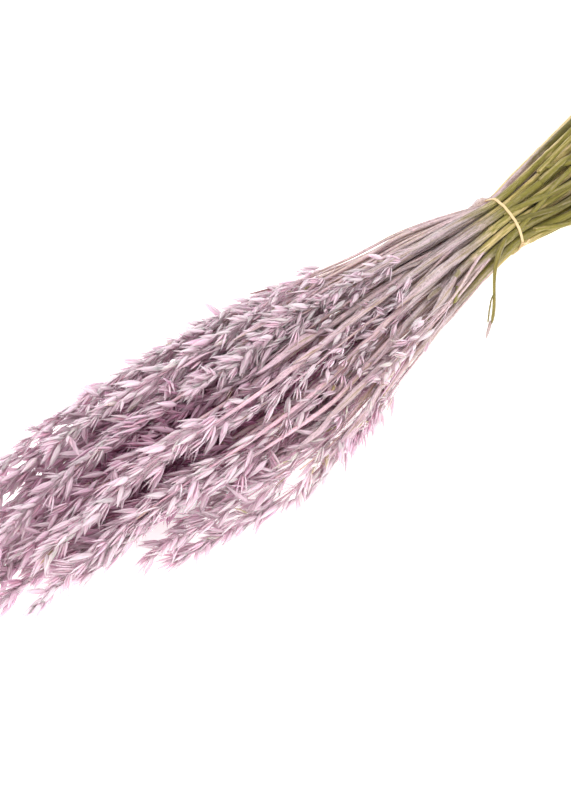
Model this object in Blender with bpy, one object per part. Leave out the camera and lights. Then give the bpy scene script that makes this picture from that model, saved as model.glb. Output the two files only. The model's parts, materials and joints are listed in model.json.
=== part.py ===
"""Dried oats bundle: dyed oat stems held together by one elastic band, lying on a surface.

The bunch lies along X with its heads toward -X and its cut ends toward +X. A place along it is
given as u, the distance from the band toward the heads, so X falls as u grows. Everything is in
metres, Z is up, and the surface that the bunch lies on is Z = 0.
"""

import math
import random

import bmesh
import bpy
from mathutils import Vector
from mathutils.bvhtree import BVHTree

# The bunch as a whole
SEED = 17
STEM_COUNT = 48
BAND_TO_CUT_ENDS = 0.150
CUT_END_SCATTER = 0.014
BAND_TO_LONGEST_TIP = 0.560
SHORTEST_TIP = 0.270
OUTER_STEMS_SHORTER = 0.055
NEAR_STEMS_SHORTER = 0.110
NEAR_SIDE = math.radians(212)
TIP_SCATTER = 0.035
SHORT_STEM_SHARE = 0.42
SHORT_STEM_LOSS = (0.04, 0.20)
DRIFT_SPREAD = 0.6

# Culms, with their leaf sheaths, where the band holds them
CULM_RADIUS_LEAST = 0.0025
CULM_RADIUS_MOST = 0.0032
CULM_GAP = 0.00035
CULM_TAPER = 1.3
FLOOR_SEAT = 0.72
START_PITCH = 0.0036
SQUEEZE = 0.02
SQUEEZE_STEPS = 520
SETTLE_STEPS = 180
PUSH_STEPS = 50
HEAD_FOOT_RADIUS = 0.0013
HEAD_END_RADIUS = 0.0009
CULM_STATION = 0.075
STATIONS = range(-2, 9)
LEAST_RING_GAP = 0.004
BARE_BELOW_HEAD = 0.012

# Heads (panicles) and their spikelets
HEAD_SHORTEST = 0.150
HEAD_LONGEST = 0.200
WHORLS = 5
SPIKELETS_IN_WHORL = 4
WHORL_HEIGHT = 0.0024
WHORL_RADIUS = 0.0017
SPIKELET_SHORTEST = 0.022
SPIKELET_LONGEST = 0.026
SPIKELET_WIDTH = 0.0048
SPIKELET_DEPTH = 0.0030
SPIKELET_BELLY = 0.38
SPIKELET_KEEL = 0.62
SPIKELET_TRIES = 14
SPIKELET_TRIES_UNTRIMMED = 8
SPIKELET_TRIM = 0.95
SPIKELET_OPEN_ANGLES = (20, 38)
SPIKELET_SLANT = 18
END_SPIKELET = 0.020
LOWEST_SPIKELET = -0.0009
SPIKELET_FREE_FROM = 0.35
AIM_SPAN = 0.019
NEIGHBOUR_REACH = 0.060
WHORL_SCATTER = 0.2
WHORL_TURN = (25, 65)
CLEARANCE = 0.0003
CLEARANCE_AT_CORNERS = 0.00045

# How the layer of stems widens away from the band, across and upward, as multiples of its size there
SPREAD_ACROSS = ((-0.150, 2.1), (-0.045, 1.35), (0.0, 1.0), (0.026, 1.12), (0.114, 1.80), (0.185, 2.55),
                 (0.240, 3.15), (0.320, 3.30), (0.400, 3.15), (0.480, 2.80), (0.570, 2.40))
SPREAD_UP = ((-0.150, 1.66), (-0.045, 1.14), (0.0, 1.0), (0.026, 1.06), (0.114, 1.35), (0.185, 1.60),
             (0.240, 1.80), (0.320, 1.85), (0.400, 1.75), (0.480, 1.55), (0.570, 1.30))
AXIS_HEIGHT = ((-0.150, 0.032), (0.0, 0.033), (0.114, 0.038), (0.240, 0.047), (0.400, 0.045), (0.570, 0.033))
AXIS_ASIDE = ((-0.150, 0.0), (0.0, 0.0), (0.240, -0.006), (0.430, 0.008), (0.570, 0.002))
TURN_PER_METRE = math.radians(45)

# How much further a stem strays at each station, and the room it keeps beside it, at a distance from the band
WANDER = ((-0.150, 0.0018), (0.0, 0.0), (0.075, 0.0009), (0.225, 0.0036), (0.300, 0.0040), (0.600, 0.0026))
ROOM = ((-0.150, 0.0012), (-0.075, 0.0008), (0.0, 0.00035), (0.075, 0.0008), (0.150, 0.0022), (0.225, 0.0060),
        (0.300, 0.0078), (0.600, 0.0078))

# Elastic band
BAND_WIDTH = 0.0024
BAND_THICKNESS = 0.0010
BAND_NUB_LENGTH = 0.0085
BAND_NUB_ANGLE = math.radians(184)
BAND_NUB_RISE = 0.0012
BAND_NUB_SECTIONS = ((0.35, 0.75), (1.0, 0.45))
BAND_CORNER_GAP = 0.0012

# Leaves that lie over the bunch: angle round it from +Y, place of the foot, length, width, lift, sideways drift
LEAF_THICKNESS = 0.0010
LEAF_SHEATH = 0.0050
LEAF_CLEAR = 0.0010
LEAF_LIFT_STEP = 0.001
LEAF_LIFT_TRIES = 14
LEAF_ARCH = 1.15
METRES_INWARD_PER_RADIAN = 0.030
LEAVES_OVER = (
    (80, 0.012, 0.165, 0.0080, 0.006, 0.004),
    (118, 0.040, 0.110, 0.0085, 0.006, -0.003),
    (76, 0.160, 0.110, 0.0085, 0.012, -0.004),
    (98, 0.200, 0.075, 0.0080, 0.012, 0.002),
    (166, 0.172, 0.100, 0.0100, 0.010, 0.002),
    (186, 0.255, 0.080, 0.0085, 0.010, -0.004),
    (134, 0.074, 0.050, 0.0075, 0.009, 0.004),
    (36, -0.014, 0.042, 0.0070, 0.005, 0.000),
    (12, 0.085, 0.130, 0.0080, 0.008, 0.003),
    (338, 0.130, 0.110, 0.0085, 0.008, -0.002),
    (52, 0.225, 0.090, 0.0080, 0.012, 0.003),
)
STUB_LEAF = (104, -0.040, -0.034, 0.0060, 0.006, 0.000)
LEAF_STATIONS = ((0.10, 0.62), (0.30, 0.95), (0.55, 1.00), (0.80, 0.72), (1.0, 0.14))
HANGING_LEAF_ANGLE = 160
HANGING_LEAF_FOOT = 0.010
HANGING_LEAF_WIDTH = 0.0058
HANGING_LEAF_ROUTE = ((0.028, -0.0270, 0.0485), (0.043, -0.0340, 0.0370), (0.049, -0.0385, 0.0200),
                      (0.054, -0.0425, 0.0055), (0.062, -0.0480, 0.0006), (0.072, -0.0550, 0.0006))
HANGING_LEAF_FACING = ((-0.75, 0.66), (-0.9, 0.45), (-0.95, 0.3), (-0.7, 0.7), (0, 1), (0, 1))
HANGING_LEAF_TAPER = (0.75, 1.0, 1.0, 0.9, 0.7, 0.25)
REST_LEAVES = ((244, -0.014), (298, 0.014))
REST_LEAF_STATIONS = ((0.16, 0.60), (0.40, 1.00), (0.60, 1.00), (0.82, 0.80), (1.0, 0.15))
REST_LEAF_FALL = 0.40
REST_LEAF_FOOT = 0.215
REST_LEAF_LENGTH = 0.105
REST_LEAF_WIDTH = 0.0100

# Finishes: colour, roughness, metallic
FINISHES = {
    "dyed_oat_straw": ((0.58, 0.40, 0.56, 1.0), 0.75, 0.0),
    "elastic_rubber": ((0.72, 0.60, 0.38, 1.0), 0.55, 0.0),
}


def slope_at(points, i):
    """Slope of the smooth curve at its point i: level at a high or low point, so that it never overshoots."""
    def secant(k):
        return (points[k + 1][1] - points[k][1]) / (points[k + 1][0] - points[k][0])
    if i == 0:
        return secant(0)
    if i == len(points) - 1:
        return secant(i - 1)
    before, after = secant(i - 1), secant(i)
    if before * after <= 0:
        return 0.0
    return 2 * before * after / (before + after)


def smooth(points, u):
    """Value at u of the smooth curve through (u, value) points, held level past its ends."""
    if u <= points[0][0]:
        return points[0][1]
    if u >= points[-1][0]:
        return points[-1][1]
    i = next(k for k in range(len(points) - 1) if points[k + 1][0] >= u)
    span = points[i + 1][0] - points[i][0]
    t = (u - points[i][0]) / span
    start, end = points[i][1], points[i + 1][1]
    rise, fall = slope_at(points, i) * span, slope_at(points, i + 1) * span
    return ((2 * t ** 3 - 3 * t ** 2 + 1) * start + (t ** 3 - 2 * t ** 2 + t) * rise
            + (3 * t ** 2 - 2 * t ** 3) * end + (t ** 3 - t ** 2) * fall)


def mix(a, b, t):
    return a + (b - a) * t


class Stem:
    """One oat stem: where it passes through the band, how thick it is, where it ends and how it wanders."""

    def __init__(self, number):
        draw = random.Random(SEED * 1000 + number)
        self.number = number
        self.radius = mix(CULM_RADIUS_LEAST, CULM_RADIUS_MOST, draw.random())
        angle = number * math.pi * (3 - math.sqrt(5))
        reach = START_PITCH * math.sqrt(number + 0.5)
        self.y, self.z = reach * math.cos(angle), reach * math.sin(angle)
        self.corner = 0.0
        self.cut = -(BAND_TO_CUT_ENDS - draw.uniform(0, CUT_END_SCATTER))
        self.length_draw = draw.random()
        self.short_draw = draw.random()
        self.head = mix(HEAD_SHORTEST, HEAD_LONGEST, draw.random())
        self.drift = {k: (draw.gauss(0, DRIFT_SPREAD), draw.gauss(0, DRIFT_SPREAD)) for k in STATIONS}
        self.shift_y, self.shift_z = [], []
        self.leaf = None
        self.spikelets = []

    def settle_length(self, bunch_radius):
        """The middle stems reach furthest; the outer ones end sooner, most of all on the near side."""
        outward = min(1.0, math.hypot(self.y, self.z) / bunch_radius)
        near = max(0.0, math.cos(math.atan2(self.z, self.y) - NEAR_SIDE))
        tip = BAND_TO_LONGEST_TIP - OUTER_STEMS_SHORTER * outward ** 2 - NEAR_STEMS_SHORTER * outward * near
        tip -= TIP_SCATTER * self.length_draw
        if self.short_draw < SHORT_STEM_SHARE:
            tip -= mix(*SHORT_STEM_LOSS, self.short_draw / SHORT_STEM_SHARE)
        self.tip = max(tip, SHORTEST_TIP)
        self.head_foot = self.tip - self.head

    def radius_at(self, u):
        if u <= 0:
            return self.radius
        if u >= self.head_foot:
            return mix(HEAD_FOOT_RADIUS, HEAD_END_RADIUS, (u - self.head_foot) / self.head)
        return mix(self.radius, HEAD_FOOT_RADIUS, (u / self.head_foot) ** CULM_TAPER)

    def centre(self, u):
        """The axis of the built stem at u: the culm runs straight between stations that all culms share."""
        if u >= self.head_foot:
            return self.route(u)
        below = math.floor(u / CULM_STATION) * CULM_STATION
        return self.route(below).lerp(self.route(below + CULM_STATION), (u - below) / CULM_STATION)

    def even_place(self, u):
        """Across and height at u when the bunch widens evenly, with a slight turn about its own line."""
        turn = TURN_PER_METRE * u
        y = self.y * math.cos(turn) - self.z * math.sin(turn)
        z = self.y * math.sin(turn) + self.z * math.cos(turn)
        y = smooth(AXIS_ASIDE, u) + y * smooth(SPREAD_ACROSS, u)
        return y, smooth(AXIS_HEIGHT, u) + z * smooth(SPREAD_UP, u)

    def route(self, u):
        """The smooth line that the stem follows, before the bunch is centred on its origin."""
        y, z = self.even_place(u)
        z += smooth(self.shift_z, u)
        return Vector((-u, y + smooth(self.shift_y, u), max(z, FLOOR_SEAT * self.radius_at(u))))


def pack_at_band(stems):
    """Press the culms together round the band's centre until they lie a hair apart."""
    for step in range(SQUEEZE_STEPS + SETTLE_STEPS):
        pull = SQUEEZE if step < SQUEEZE_STEPS else 0.0
        for stem in stems:
            stem.y -= pull * stem.y
            stem.z -= pull * stem.z
        for i, one in enumerate(stems):
            for other in stems[i + 1:]:
                dy, dz = other.y - one.y, other.z - one.z
                gap = math.hypot(dy, dz)
                short = one.radius + other.radius + CULM_GAP - gap
                if short > 0:
                    dy, dz = dy / gap * short * 0.5, dz / gap * short * 0.5
                    one.y, one.z = one.y - dy, one.z - dz
                    other.y, other.z = other.y + dy, other.z + dz
    return max(math.hypot(stem.y, stem.z) for stem in stems)


def push_apart(stems, places, u):
    """Part the stems that come too near each other at u, and keep them all on the surface."""
    for _ in range(PUSH_STEPS):
        for i, one in enumerate(places):
            for j in range(i + 1, len(places)):
                other = places[j]
                dy, dz = other[0] - one[0], other[1] - one[1]
                gap = math.hypot(dy, dz)
                short = stems[i].radius_at(u) + stems[j].radius_at(u) + smooth(ROOM, u) - gap
                if short > 0:
                    dy, dz = dy / gap * short * 0.5, dz / gap * short * 0.5
                    one[0], one[1] = one[0] - dy, one[1] - dz
                    other[0], other[1] = other[0] + dy, other[1] + dz
            one[1] = max(one[1], FLOOR_SEAT * stems[i].radius_at(u))


def wander_apart(stems):
    """Walk from the band to each end, letting each stem stray a little more at every station."""
    for stations in (range(0, STATIONS.stop), range(-1, STATIONS.start - 1, -1)):
        strayed = [(0.0, 0.0)] * len(stems)
        for k in stations:
            u = k * CULM_STATION
            step = smooth(WANDER, u)
            even = [stem.even_place(u) for stem in stems]
            places = [[y + dy + step * stem.drift[k][0], z + dz + step * stem.drift[k][1]]
                      for stem, (y, z), (dy, dz) in zip(stems, even, strayed)]
            if k:
                push_apart(stems, places, u)
            strayed = [(place[0] - y, place[1] - z) for place, (y, z) in zip(places, even)]
            for stem, (dy, dz) in zip(stems, strayed):
                stem.shift_y.append((u, dy))
                stem.shift_z.append((u, dz))
    for stem in stems:
        stem.shift_y.sort()
        stem.shift_z.sort()


def point_corner_at_neighbour(stems):
    """Each culm is four-sided here and turns a corner to its nearest neighbour, so that they nearly touch."""
    for stem in stems:
        others = [other for other in stems if other is not stem]
        near = min(others, key=lambda o: math.hypot(o.y - stem.y, o.z - stem.z) - o.radius)
        stem.corner = math.atan2(near.z - stem.z, near.y - stem.y)


def stem_rows(stem):
    """Rings along a stem: (u, radius, corner angle, what starts there)."""
    head_rows = []
    pitch = stem.head / WHORLS
    draw = random.Random(SEED * 2000 + stem.number)
    turn = stem.corner
    for whorl in range(WHORLS):
        u = stem.head_foot + pitch * (whorl + draw.uniform(0.0, WHORL_SCATTER))
        turn += math.radians(draw.uniform(*WHORL_TURN))
        head_rows.append((u, WHORL_RADIUS, turn, whorl + 1))
        head_rows.append((u + WHORL_HEIGHT, WHORL_RADIUS, turn, 0))
    head_rows.append((stem.tip - END_SPIKELET, HEAD_END_RADIUS, turn, 0))
    rows = [(stem.cut, stem.radius, stem.corner, 0)]
    step = -1
    taken = [head_rows[0][0]]
    if stem.leaf:
        foot = stem.leaf["foot"]
        rows.append((foot, stem.radius_at(foot), stem.corner, -1))
        rows.append((foot + LEAF_SHEATH, stem.radius_at(foot), stem.corner, 0))
        taken += [foot, foot + LEAF_SHEATH]
    while step * CULM_STATION < head_rows[0][0] - BARE_BELOW_HEAD:
        station = step * CULM_STATION
        if min(abs(station - u) for u in taken) > LEAST_RING_GAP:
            rows.append((station, stem.radius_at(station), stem.corner, 0))
        step += 1
    return sorted(rows) + head_rows


def section_at(rows, rings, u):
    """The four corners of a culm where its straight stretch between two rings passes u."""
    i = next(k for k in range(len(rows) - 1) if rows[k + 1][0] >= u)
    share = (u - rows[i][0]) / (rows[i + 1][0] - rows[i][0])
    return [start.lerp(end, share) for start, end in zip(rings[i], rings[i + 1])]


def ring(stem, row):
    u, radius, corner, _ = row
    centre = stem.centre(u)
    quarter = math.pi / 2
    return [centre + radius * Vector((0, math.cos(corner + k * quarter), math.sin(corner + k * quarter)))
            for k in range(4)]


def spikelet_body(root, direction, length, width, depth):
    """Keel, two inner corners and tip of a spikelet that grows from its root quad.

    root holds the quad's corners: outer left, outer right, inner right, inner left.
    """
    foot = sum(root, Vector()) / 4
    across = (root[1] - root[0]).normalized()
    inward = (root[3] - root[0]).normalized()
    across = (across - direction * across.dot(direction)).normalized()
    inward = (inward - direction * inward.dot(direction) - across * inward.dot(across)).normalized()
    belly = foot + direction * (length * SPIKELET_BELLY)
    keel = belly - inward * depth * SPIKELET_KEEL
    left = belly - across * width * 0.5 + inward * depth * (1 - SPIKELET_KEEL)
    right = belly + across * width * 0.5 + inward * depth * (1 - SPIKELET_KEEL)
    return keel, left, right, foot + direction * length


def spikelet_tree(root, body, start=0.0):
    """The spikelet's surface for a clearance test, from the share start of the way between root and belly."""
    keel, left, right, tip = body
    ends = (keel, keel, right, left)
    points = [root[k].lerp(ends[k], start) for k in range(4)] + [keel, left, right, tip]
    faces = [(0, 1, 4), (1, 2, 6, 4), (2, 3, 5, 6), (3, 0, 4, 5), (4, 6, 7), (6, 5, 7), (5, 4, 7), (0, 3, 2, 1)]
    return BVHTree.FromPolygons(points, faces)


def tube_tree(rings):
    points = [p for r in rings for p in r]
    faces = []
    for i in range(len(rings) - 1):
        a = 4 * i
        faces += [(a + k, a + (k + 1) % 4, a + 4 + (k + 1) % 4, a + 4 + k) for k in range(4)]
    return BVHTree.FromPolygons(points, faces)


def leaf_sections(points, outwards, widths):
    """Four corners of a flat blade at each point: outer left, outer right, inner right, inner left."""
    sections = []
    for i, point in enumerate(points):
        ahead = points[min(i + 1, len(points) - 1)] - points[max(i - 1, 0)]
        ahead.normalize()
        across = ahead.cross(outwards[i]).normalized()
        out = across.cross(ahead).normalized()
        half = across * widths[i] * 0.5
        up = out * LEAF_THICKNESS * 0.5
        sections.append([point - half + up, point + half + up, point + half - up, point - half - up])
    return sections


def grown(sections):
    """The four-cornered sections, each made larger all round by the clearance."""
    larger = []
    for section in sections:
        middle = sum(section, Vector()) / 4
        larger.append([p + (p - middle).normalized() * CLEARANCE_AT_CORNERS for p in section])
    return larger


def blade_over(stem, leaf, lift):
    """Blade that lies over its own stem, lifted away from it and drifting sideways."""
    points, outwards, widths = [], [], []
    for share, width in LEAF_STATIONS:
        u = leaf["foot"] + leaf["length"] * share
        centre = stem.centre(u)
        out = Vector((0, math.cos(leaf["side"]), math.sin(leaf["side"])))
        along = Vector((0, -out.z, out.y))
        rise = stem.radius_at(u) + LEAF_CLEAR + lift * math.sin(min(1.0, share * LEAF_ARCH) * math.pi / 2)
        points.append(centre + out * rise + along * leaf["drift"] * share)
        outwards.append(out)
        widths.append(leaf["width"] * width)
    return leaf_sections(points, outwards, widths)


def blade_by_route(leaf):
    """Blade that leaves the bunch, falls and lies on the surface."""
    points = [Vector((-u, y, z)) for u, y, z in leaf["route"]]
    outwards = [Vector((0, *facing)) for facing in HANGING_LEAF_FACING]
    widths = [leaf["width"] * share for share in HANGING_LEAF_TAPER]
    return leaf_sections(points, outwards, widths)


def blade_at_rest(stem, leaf):
    """Blade under the bunch that its weight presses flat on the surface."""
    points, outwards, widths = [], [], []
    for share, width in REST_LEAF_STATIONS:
        u = leaf["foot"] + leaf["length"] * share
        centre = stem.centre(u)
        start = centre.z - stem.radius_at(u) - LEAF_CLEAR
        fall = min(1.0, share / REST_LEAF_FALL)
        z = mix(start, LEAF_THICKNESS / 2, fall * fall * (3 - 2 * fall))
        points.append(Vector((-u, centre.y + leaf["drift"] * share, z)))
        outwards.append(Vector((0, 0, -1)))
        widths.append(leaf["width"] * width)
    return leaf_sections(points, outwards, widths)


def give_leaf(stems, angle, foot, kind, used):
    """Choose the outermost free stem nearest an angle round the bunch and turn one of its sides outward."""
    wanted = math.radians(angle)

    def miss(stem):
        centre = stem.centre(foot)
        turn = math.atan2(centre.z - smooth(AXIS_HEIGHT, foot), centre.y - smooth(AXIS_ASIDE, foot))
        apart = abs((turn - wanted + math.pi) % (2 * math.pi) - math.pi)
        return apart * METRES_INWARD_PER_RADIAN - math.hypot(stem.y, stem.z)
    room = [s for s in stems if s.number not in used and s.head_foot > foot + BARE_BELOW_HEAD]
    stem = min(room, key=miss)
    used.add(stem.number)
    stem.corner = wanted - math.pi / 4
    stem.leaf = {"kind": kind, "foot": foot, "side": wanted}
    return stem


def give_leaves(stems):
    used = set()
    for angle, foot, length, width, lift, drift in LEAVES_OVER + (STUB_LEAF,):
        stem = give_leaf(stems, angle, foot, "over", used)
        stem.leaf.update(length=length, width=width, lift=lift, drift=drift)
    stem = give_leaf(stems, HANGING_LEAF_ANGLE, HANGING_LEAF_FOOT, "route", used)
    stem.leaf.update(width=HANGING_LEAF_WIDTH, route=HANGING_LEAF_ROUTE)
    for angle, drift in REST_LEAVES:
        stem = give_leaf(stems, angle, REST_LEAF_FOOT, "rest", used)
        stem.leaf.update(length=REST_LEAF_LENGTH, width=REST_LEAF_WIDTH, drift=drift)


def leaf_root(stem, rows, rings):
    """The quad of the culm's outward side that the leaf grows from."""
    at = next(i for i, row in enumerate(rows) if row[3] == -1)
    return [rings[at][0], rings[at][1], rings[at + 1][1], rings[at + 1][0]]


def settle_leaves(stems, tubes, rows, rings):
    """Give each leaf its shape, lifting it until it clears every other stem and leaf."""
    leaves = {}
    for stem in stems:
        if not stem.leaf:
            continue
        others = [tubes[s.number] for s in stems if s is not stem] + list(leaves.values())
        if stem.leaf["kind"] == "route":
            tries = [blade_by_route(stem.leaf)]
        elif stem.leaf["kind"] == "rest":
            tries = [blade_at_rest(stem, stem.leaf)]
        else:
            tries = [blade_over(stem, stem.leaf, stem.leaf["lift"] + LEAF_LIFT_STEP * n)
                     for n in range(LEAF_LIFT_TRIES)]
        root = leaf_root(stem, rows[stem.number], rings[stem.number])
        for sections in tries:
            sections = matched(sections, root)
            tree = tube_tree([root] + grown(sections))
            if not any(tree.overlap(other) for other in others):
                break
        else:
            print("leaf without room on stem", stem.number, stem.leaf["kind"])
        stem.leaf["sections"] = sections
        leaves[stem.number] = tree
    return leaves


def grow_spikelets(stems, rows, rings, tubes, leaves):
    """Place every spikelet clear of all else, re-aiming it where the first aim has no room."""
    heads = {stem.number: [] for stem in stems}
    own = {stem.number: [] for stem in stems}
    asked = placed = 0
    for whorl in range(1, WHORLS + 1):
        for stem in stems:
            at = next(i for i, row in enumerate(rows[stem.number]) if row[3] == whorl)
            below, above = rings[stem.number][at], rings[stem.number][at + 1]
            here = -below[0].x
            near = [s for s in stems if s is not stem and (s.centre(here) - below[0]).length < NEIGHBOUR_REACH]
            others = [tubes[s.number] for s in near] + [t for s in near for t in heads[s.number]]
            others += list(leaves.values())
            ahead = (stem.centre(here + AIM_SPAN) - stem.centre(here)).normalized()
            draw = random.Random(SEED * 3000 + stem.number * 10 + whorl)
            for side in range(SPIKELETS_IN_WHORL):
                asked += 1
                after = (side + 1) % 4
                root = [below[side], below[after], above[after], above[side]]
                out = (below[side] + below[after] - below[(side + 2) % 4] - below[(side + 3) % 4]).normalized()
                along = ahead.cross(out).normalized()
                length = draw.uniform(SPIKELET_SHORTEST, SPIKELET_LONGEST)
                for attempt in range(SPIKELET_TRIES):
                    open_angle = math.radians(draw.uniform(*SPIKELET_OPEN_ANGLES))
                    slant = math.radians(draw.uniform(-SPIKELET_SLANT, SPIKELET_SLANT))
                    if attempt >= SPIKELET_TRIES_UNTRIMMED:
                        length *= SPIKELET_TRIM
                    aim = (ahead * math.cos(open_angle) + out * math.sin(open_angle) + along * math.sin(slant))
                    aim.normalize()
                    grown = spikelet_body(root, aim, length + CLEARANCE, SPIKELET_WIDTH + 2 * CLEARANCE,
                                          SPIKELET_DEPTH + 2 * CLEARANCE)
                    if min(p.z for p in grown) < LOWEST_SPIKELET:
                        continue
                    tree = spikelet_tree(root, grown)
                    free = spikelet_tree(root, grown, SPIKELET_FREE_FROM)
                    if any(tree.overlap(other) for other in others):
                        continue
                    if any(free.overlap(other) for other in own[stem.number]):
                        continue
                    body = spikelet_body(root, aim, length, SPIKELET_WIDTH, SPIKELET_DEPTH)
                    stem.spikelets.append((at, side, body))
                    heads[stem.number].append(tree)
                    own[stem.number].append(free)
                    placed += 1
                    break
    print("spikelets placed", placed, "of", asked)


def finish(name, points, faces, finish_name):
    """Make the object: nothing lies below the surface, faces point out, and it has its own material."""
    for point in points:
        point.z = max(point.z, 0.0)
    mesh = bpy.data.meshes.new(name)
    mesh.from_pydata([tuple(p) for p in points], [], faces)
    bm = bmesh.new()
    bm.from_mesh(mesh)
    bmesh.ops.recalc_face_normals(bm, faces=bm.faces)
    bmesh.ops.triangulate(bm, faces=bm.faces)
    bm.to_mesh(mesh)
    bm.free()
    mesh.materials.append(material(finish_name))
    obj = bpy.data.objects.new(name, mesh)
    bpy.context.scene.collection.objects.link(obj)
    return obj


def material(name):
    if name in bpy.data.materials:
        return bpy.data.materials[name]
    colour, roughness, metallic = FINISHES[name]
    made = bpy.data.materials.new(name)
    made.use_nodes = True
    shader = made.node_tree.nodes["Principled BSDF"]
    shader.inputs["Base Color"].default_value = colour
    shader.inputs["Roughness"].default_value = roughness
    shader.inputs["Metallic"].default_value = metallic
    made.diffuse_color = colour
    return made


def sides_between(before, after):
    """The four quads between two four-cornered sections."""
    return [(before[j], before[(j + 1) % 4], after[(j + 1) % 4], after[j]) for j in range(4)]


def end_spikelet(stem, rings):
    """Belly corners and tip of the spikelet that ends the head."""
    middle = sum(rings[-1], Vector()) / 4
    ahead = stem.centre(stem.tip) - middle
    belly = middle + ahead * SPIKELET_BELLY
    corners = [belly + (p - middle).normalized() * SPIKELET_DEPTH * SPIKELET_KEEL for p in rings[-1]]
    return corners + [middle + ahead]


def build_stem(stem, rows, rings):
    """One closed mesh: culm, leaf and head as they grew."""
    points = [p.copy() for r in rings for p in r]
    faces = [(3, 2, 1, 0)]
    skip = {(at, side): body for at, side, body in stem.spikelets}
    leaf_at = next((i for i, row in enumerate(rows) if row[3] == -1), None)
    for i in range(len(rings) - 1):
        a = 4 * i
        for k in range(4):
            after = (k + 1) % 4
            quad = (a + k, a + after, a + 4 + after, a + 4 + k)
            if (i, k) in skip:
                n = len(points)
                points += [p.copy() for p in skip[(i, k)]]
                keel, left, right, tip = n, n + 1, n + 2, n + 3
                faces += [(quad[0], quad[1], keel), (quad[1], quad[2], right, keel),
                          (quad[2], quad[3], left, right), (quad[3], quad[0], keel, left),
                          (keel, right, tip), (right, left, tip), (left, keel, tip)]
            elif i == leaf_at and k == 0:
                before = list(quad)
                for section in stem.leaf["sections"]:
                    corners = [len(points) + j for j in range(4)]
                    points += [p.copy() for p in section]
                    faces += sides_between(before, corners)
                    before = corners
                faces.append(tuple(before))
            else:
                faces.append(quad)
    last = 4 * (len(rings) - 1)
    n = len(points)
    points += end_spikelet(stem, rings)
    for k in range(4):
        after = (k + 1) % 4
        faces.append((last + k, last + after, n + after, n + k))
        faces.append((n + k, n + after, n + 4))
    return finish(f"oat_stem_{stem.number + 1:02d}", points, faces, "dyed_oat_straw")


def matched(sections, root):
    """The blade's corners in the order of the root quad's, whichever way round the blade was laid."""
    first = sections[0]
    best = min(range(4), key=lambda s: sum((first[(s + j) % 4] - root[j]).length for j in range(4)))
    flipped = [first[0], first[3], first[2], first[1]]
    best_flip = min(range(4), key=lambda s: sum((flipped[(s + j) % 4] - root[j]).length for j in range(4)))
    straight = sum((first[(best + j) % 4] - root[j]).length for j in range(4))
    turned = sum((flipped[(best_flip + j) % 4] - root[j]).length for j in range(4))
    if straight <= turned:
        return [[s[(best + j) % 4] for j in range(4)] for s in sections]
    return [[[s[0], s[3], s[2], s[1]][(best_flip + j) % 4] for j in range(4)] for s in sections]


def hull(points):
    """Convex outline of flat (y, z) points, anticlockwise."""
    points = sorted(points)

    def half(run):
        kept = []
        for p in run:
            while len(kept) > 1 and ((kept[-1][0] - kept[-2][0]) * (p[1] - kept[-2][1])
                                     - (kept[-1][1] - kept[-2][1]) * (p[0] - kept[-2][0])) <= 0:
                kept.pop()
            kept.append(p)
        return kept[:-1]
    return half(points) + half(points[::-1])


def grown_outline(outline, by):
    """The outline moved outward by a distance, with its corners kept."""
    grown = []
    count = len(outline)
    for i, point in enumerate(outline):
        before, after = outline[i - 1], outline[(i + 1) % count]
        one = Vector((point[1] - before[1], before[0] - point[0])).normalized()
        two = Vector((after[1] - point[1], point[0] - after[0])).normalized()
        corner = (one + two) / (1 + one.dot(two))
        grown.append((point[0] + corner.x * by, point[1] + corner.y * by))
    return grown


def build_band(rings_at_band):
    """Flat elastic ring round the outermost culms, with the nub where its ends are crimped together."""
    flat = [(p.y, p.z) for r in rings_at_band for p in r]
    outline = []
    for point in grown_outline(hull(flat), CULM_GAP):
        if not outline or math.dist(point, outline[-1]) > BAND_CORNER_GAP:
            outline.append(point)
    outer = grown_outline(outline, BAND_THICKNESS)
    centre = (sum(p[0] for p in outline) / len(outline), sum(p[1] for p in outline) / len(outline))
    half = BAND_WIDTH / 2
    points, faces = [], []
    for (y, z), (far_y, far_z) in zip(outline, outer):
        points += [Vector((-half, y, z)), Vector((half, y, z)), Vector((half, far_y, far_z)),
                   Vector((-half, far_y, far_z))]
    count = len(outline)

    def turn_of(i):
        y = (outer[i][0] + outer[(i + 1) % count][0]) / 2 - centre[0]
        z = (outer[i][1] + outer[(i + 1) % count][1]) / 2 - centre[1]
        return abs((math.atan2(z, y) - BAND_NUB_ANGLE + math.pi) % (2 * math.pi) - math.pi)
    nub_at = min(range(count), key=turn_of)
    for i in range(count):
        a, b = 4 * i, 4 * ((i + 1) % count)
        for k in range(4):
            quad = (a + k, a + (k + 1) % 4, b + (k + 1) % 4, b + k)
            if i == nub_at and k == 1:
                n = len(points)
                middle = sum((points[q] for q in quad), Vector()) / 4
                outward = Vector((0, middle.y - centre[0], middle.z - centre[1])).normalized()
                for share, wide in BAND_NUB_SECTIONS:
                    shift = outward * BAND_NUB_RISE * share + Vector((BAND_NUB_LENGTH * share, 0, 0))
                    points += [middle + (points[q] - middle) * wide + shift for q in quad]
                before = list(quad)
                for step in range(len(BAND_NUB_SECTIONS)):
                    corners = [n + 4 * step + j for j in range(4)]
                    faces += sides_between(before, corners)
                    before = corners
                faces.append(tuple(before))
            else:
                faces.append(quad)
    return finish("elastic_band", points, faces, "elastic_rubber")


def centre_on_origin(objects):
    """Put the origin on the surface below the middle of the bunch's box."""
    corners = [v.co for obj in objects for v in obj.data.vertices]
    middle_x = (min(c.x for c in corners) + max(c.x for c in corners)) / 2
    middle_y = (min(c.y for c in corners) + max(c.y for c in corners)) / 2
    for corner in corners:
        corner.x -= middle_x
        corner.y -= middle_y


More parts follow.
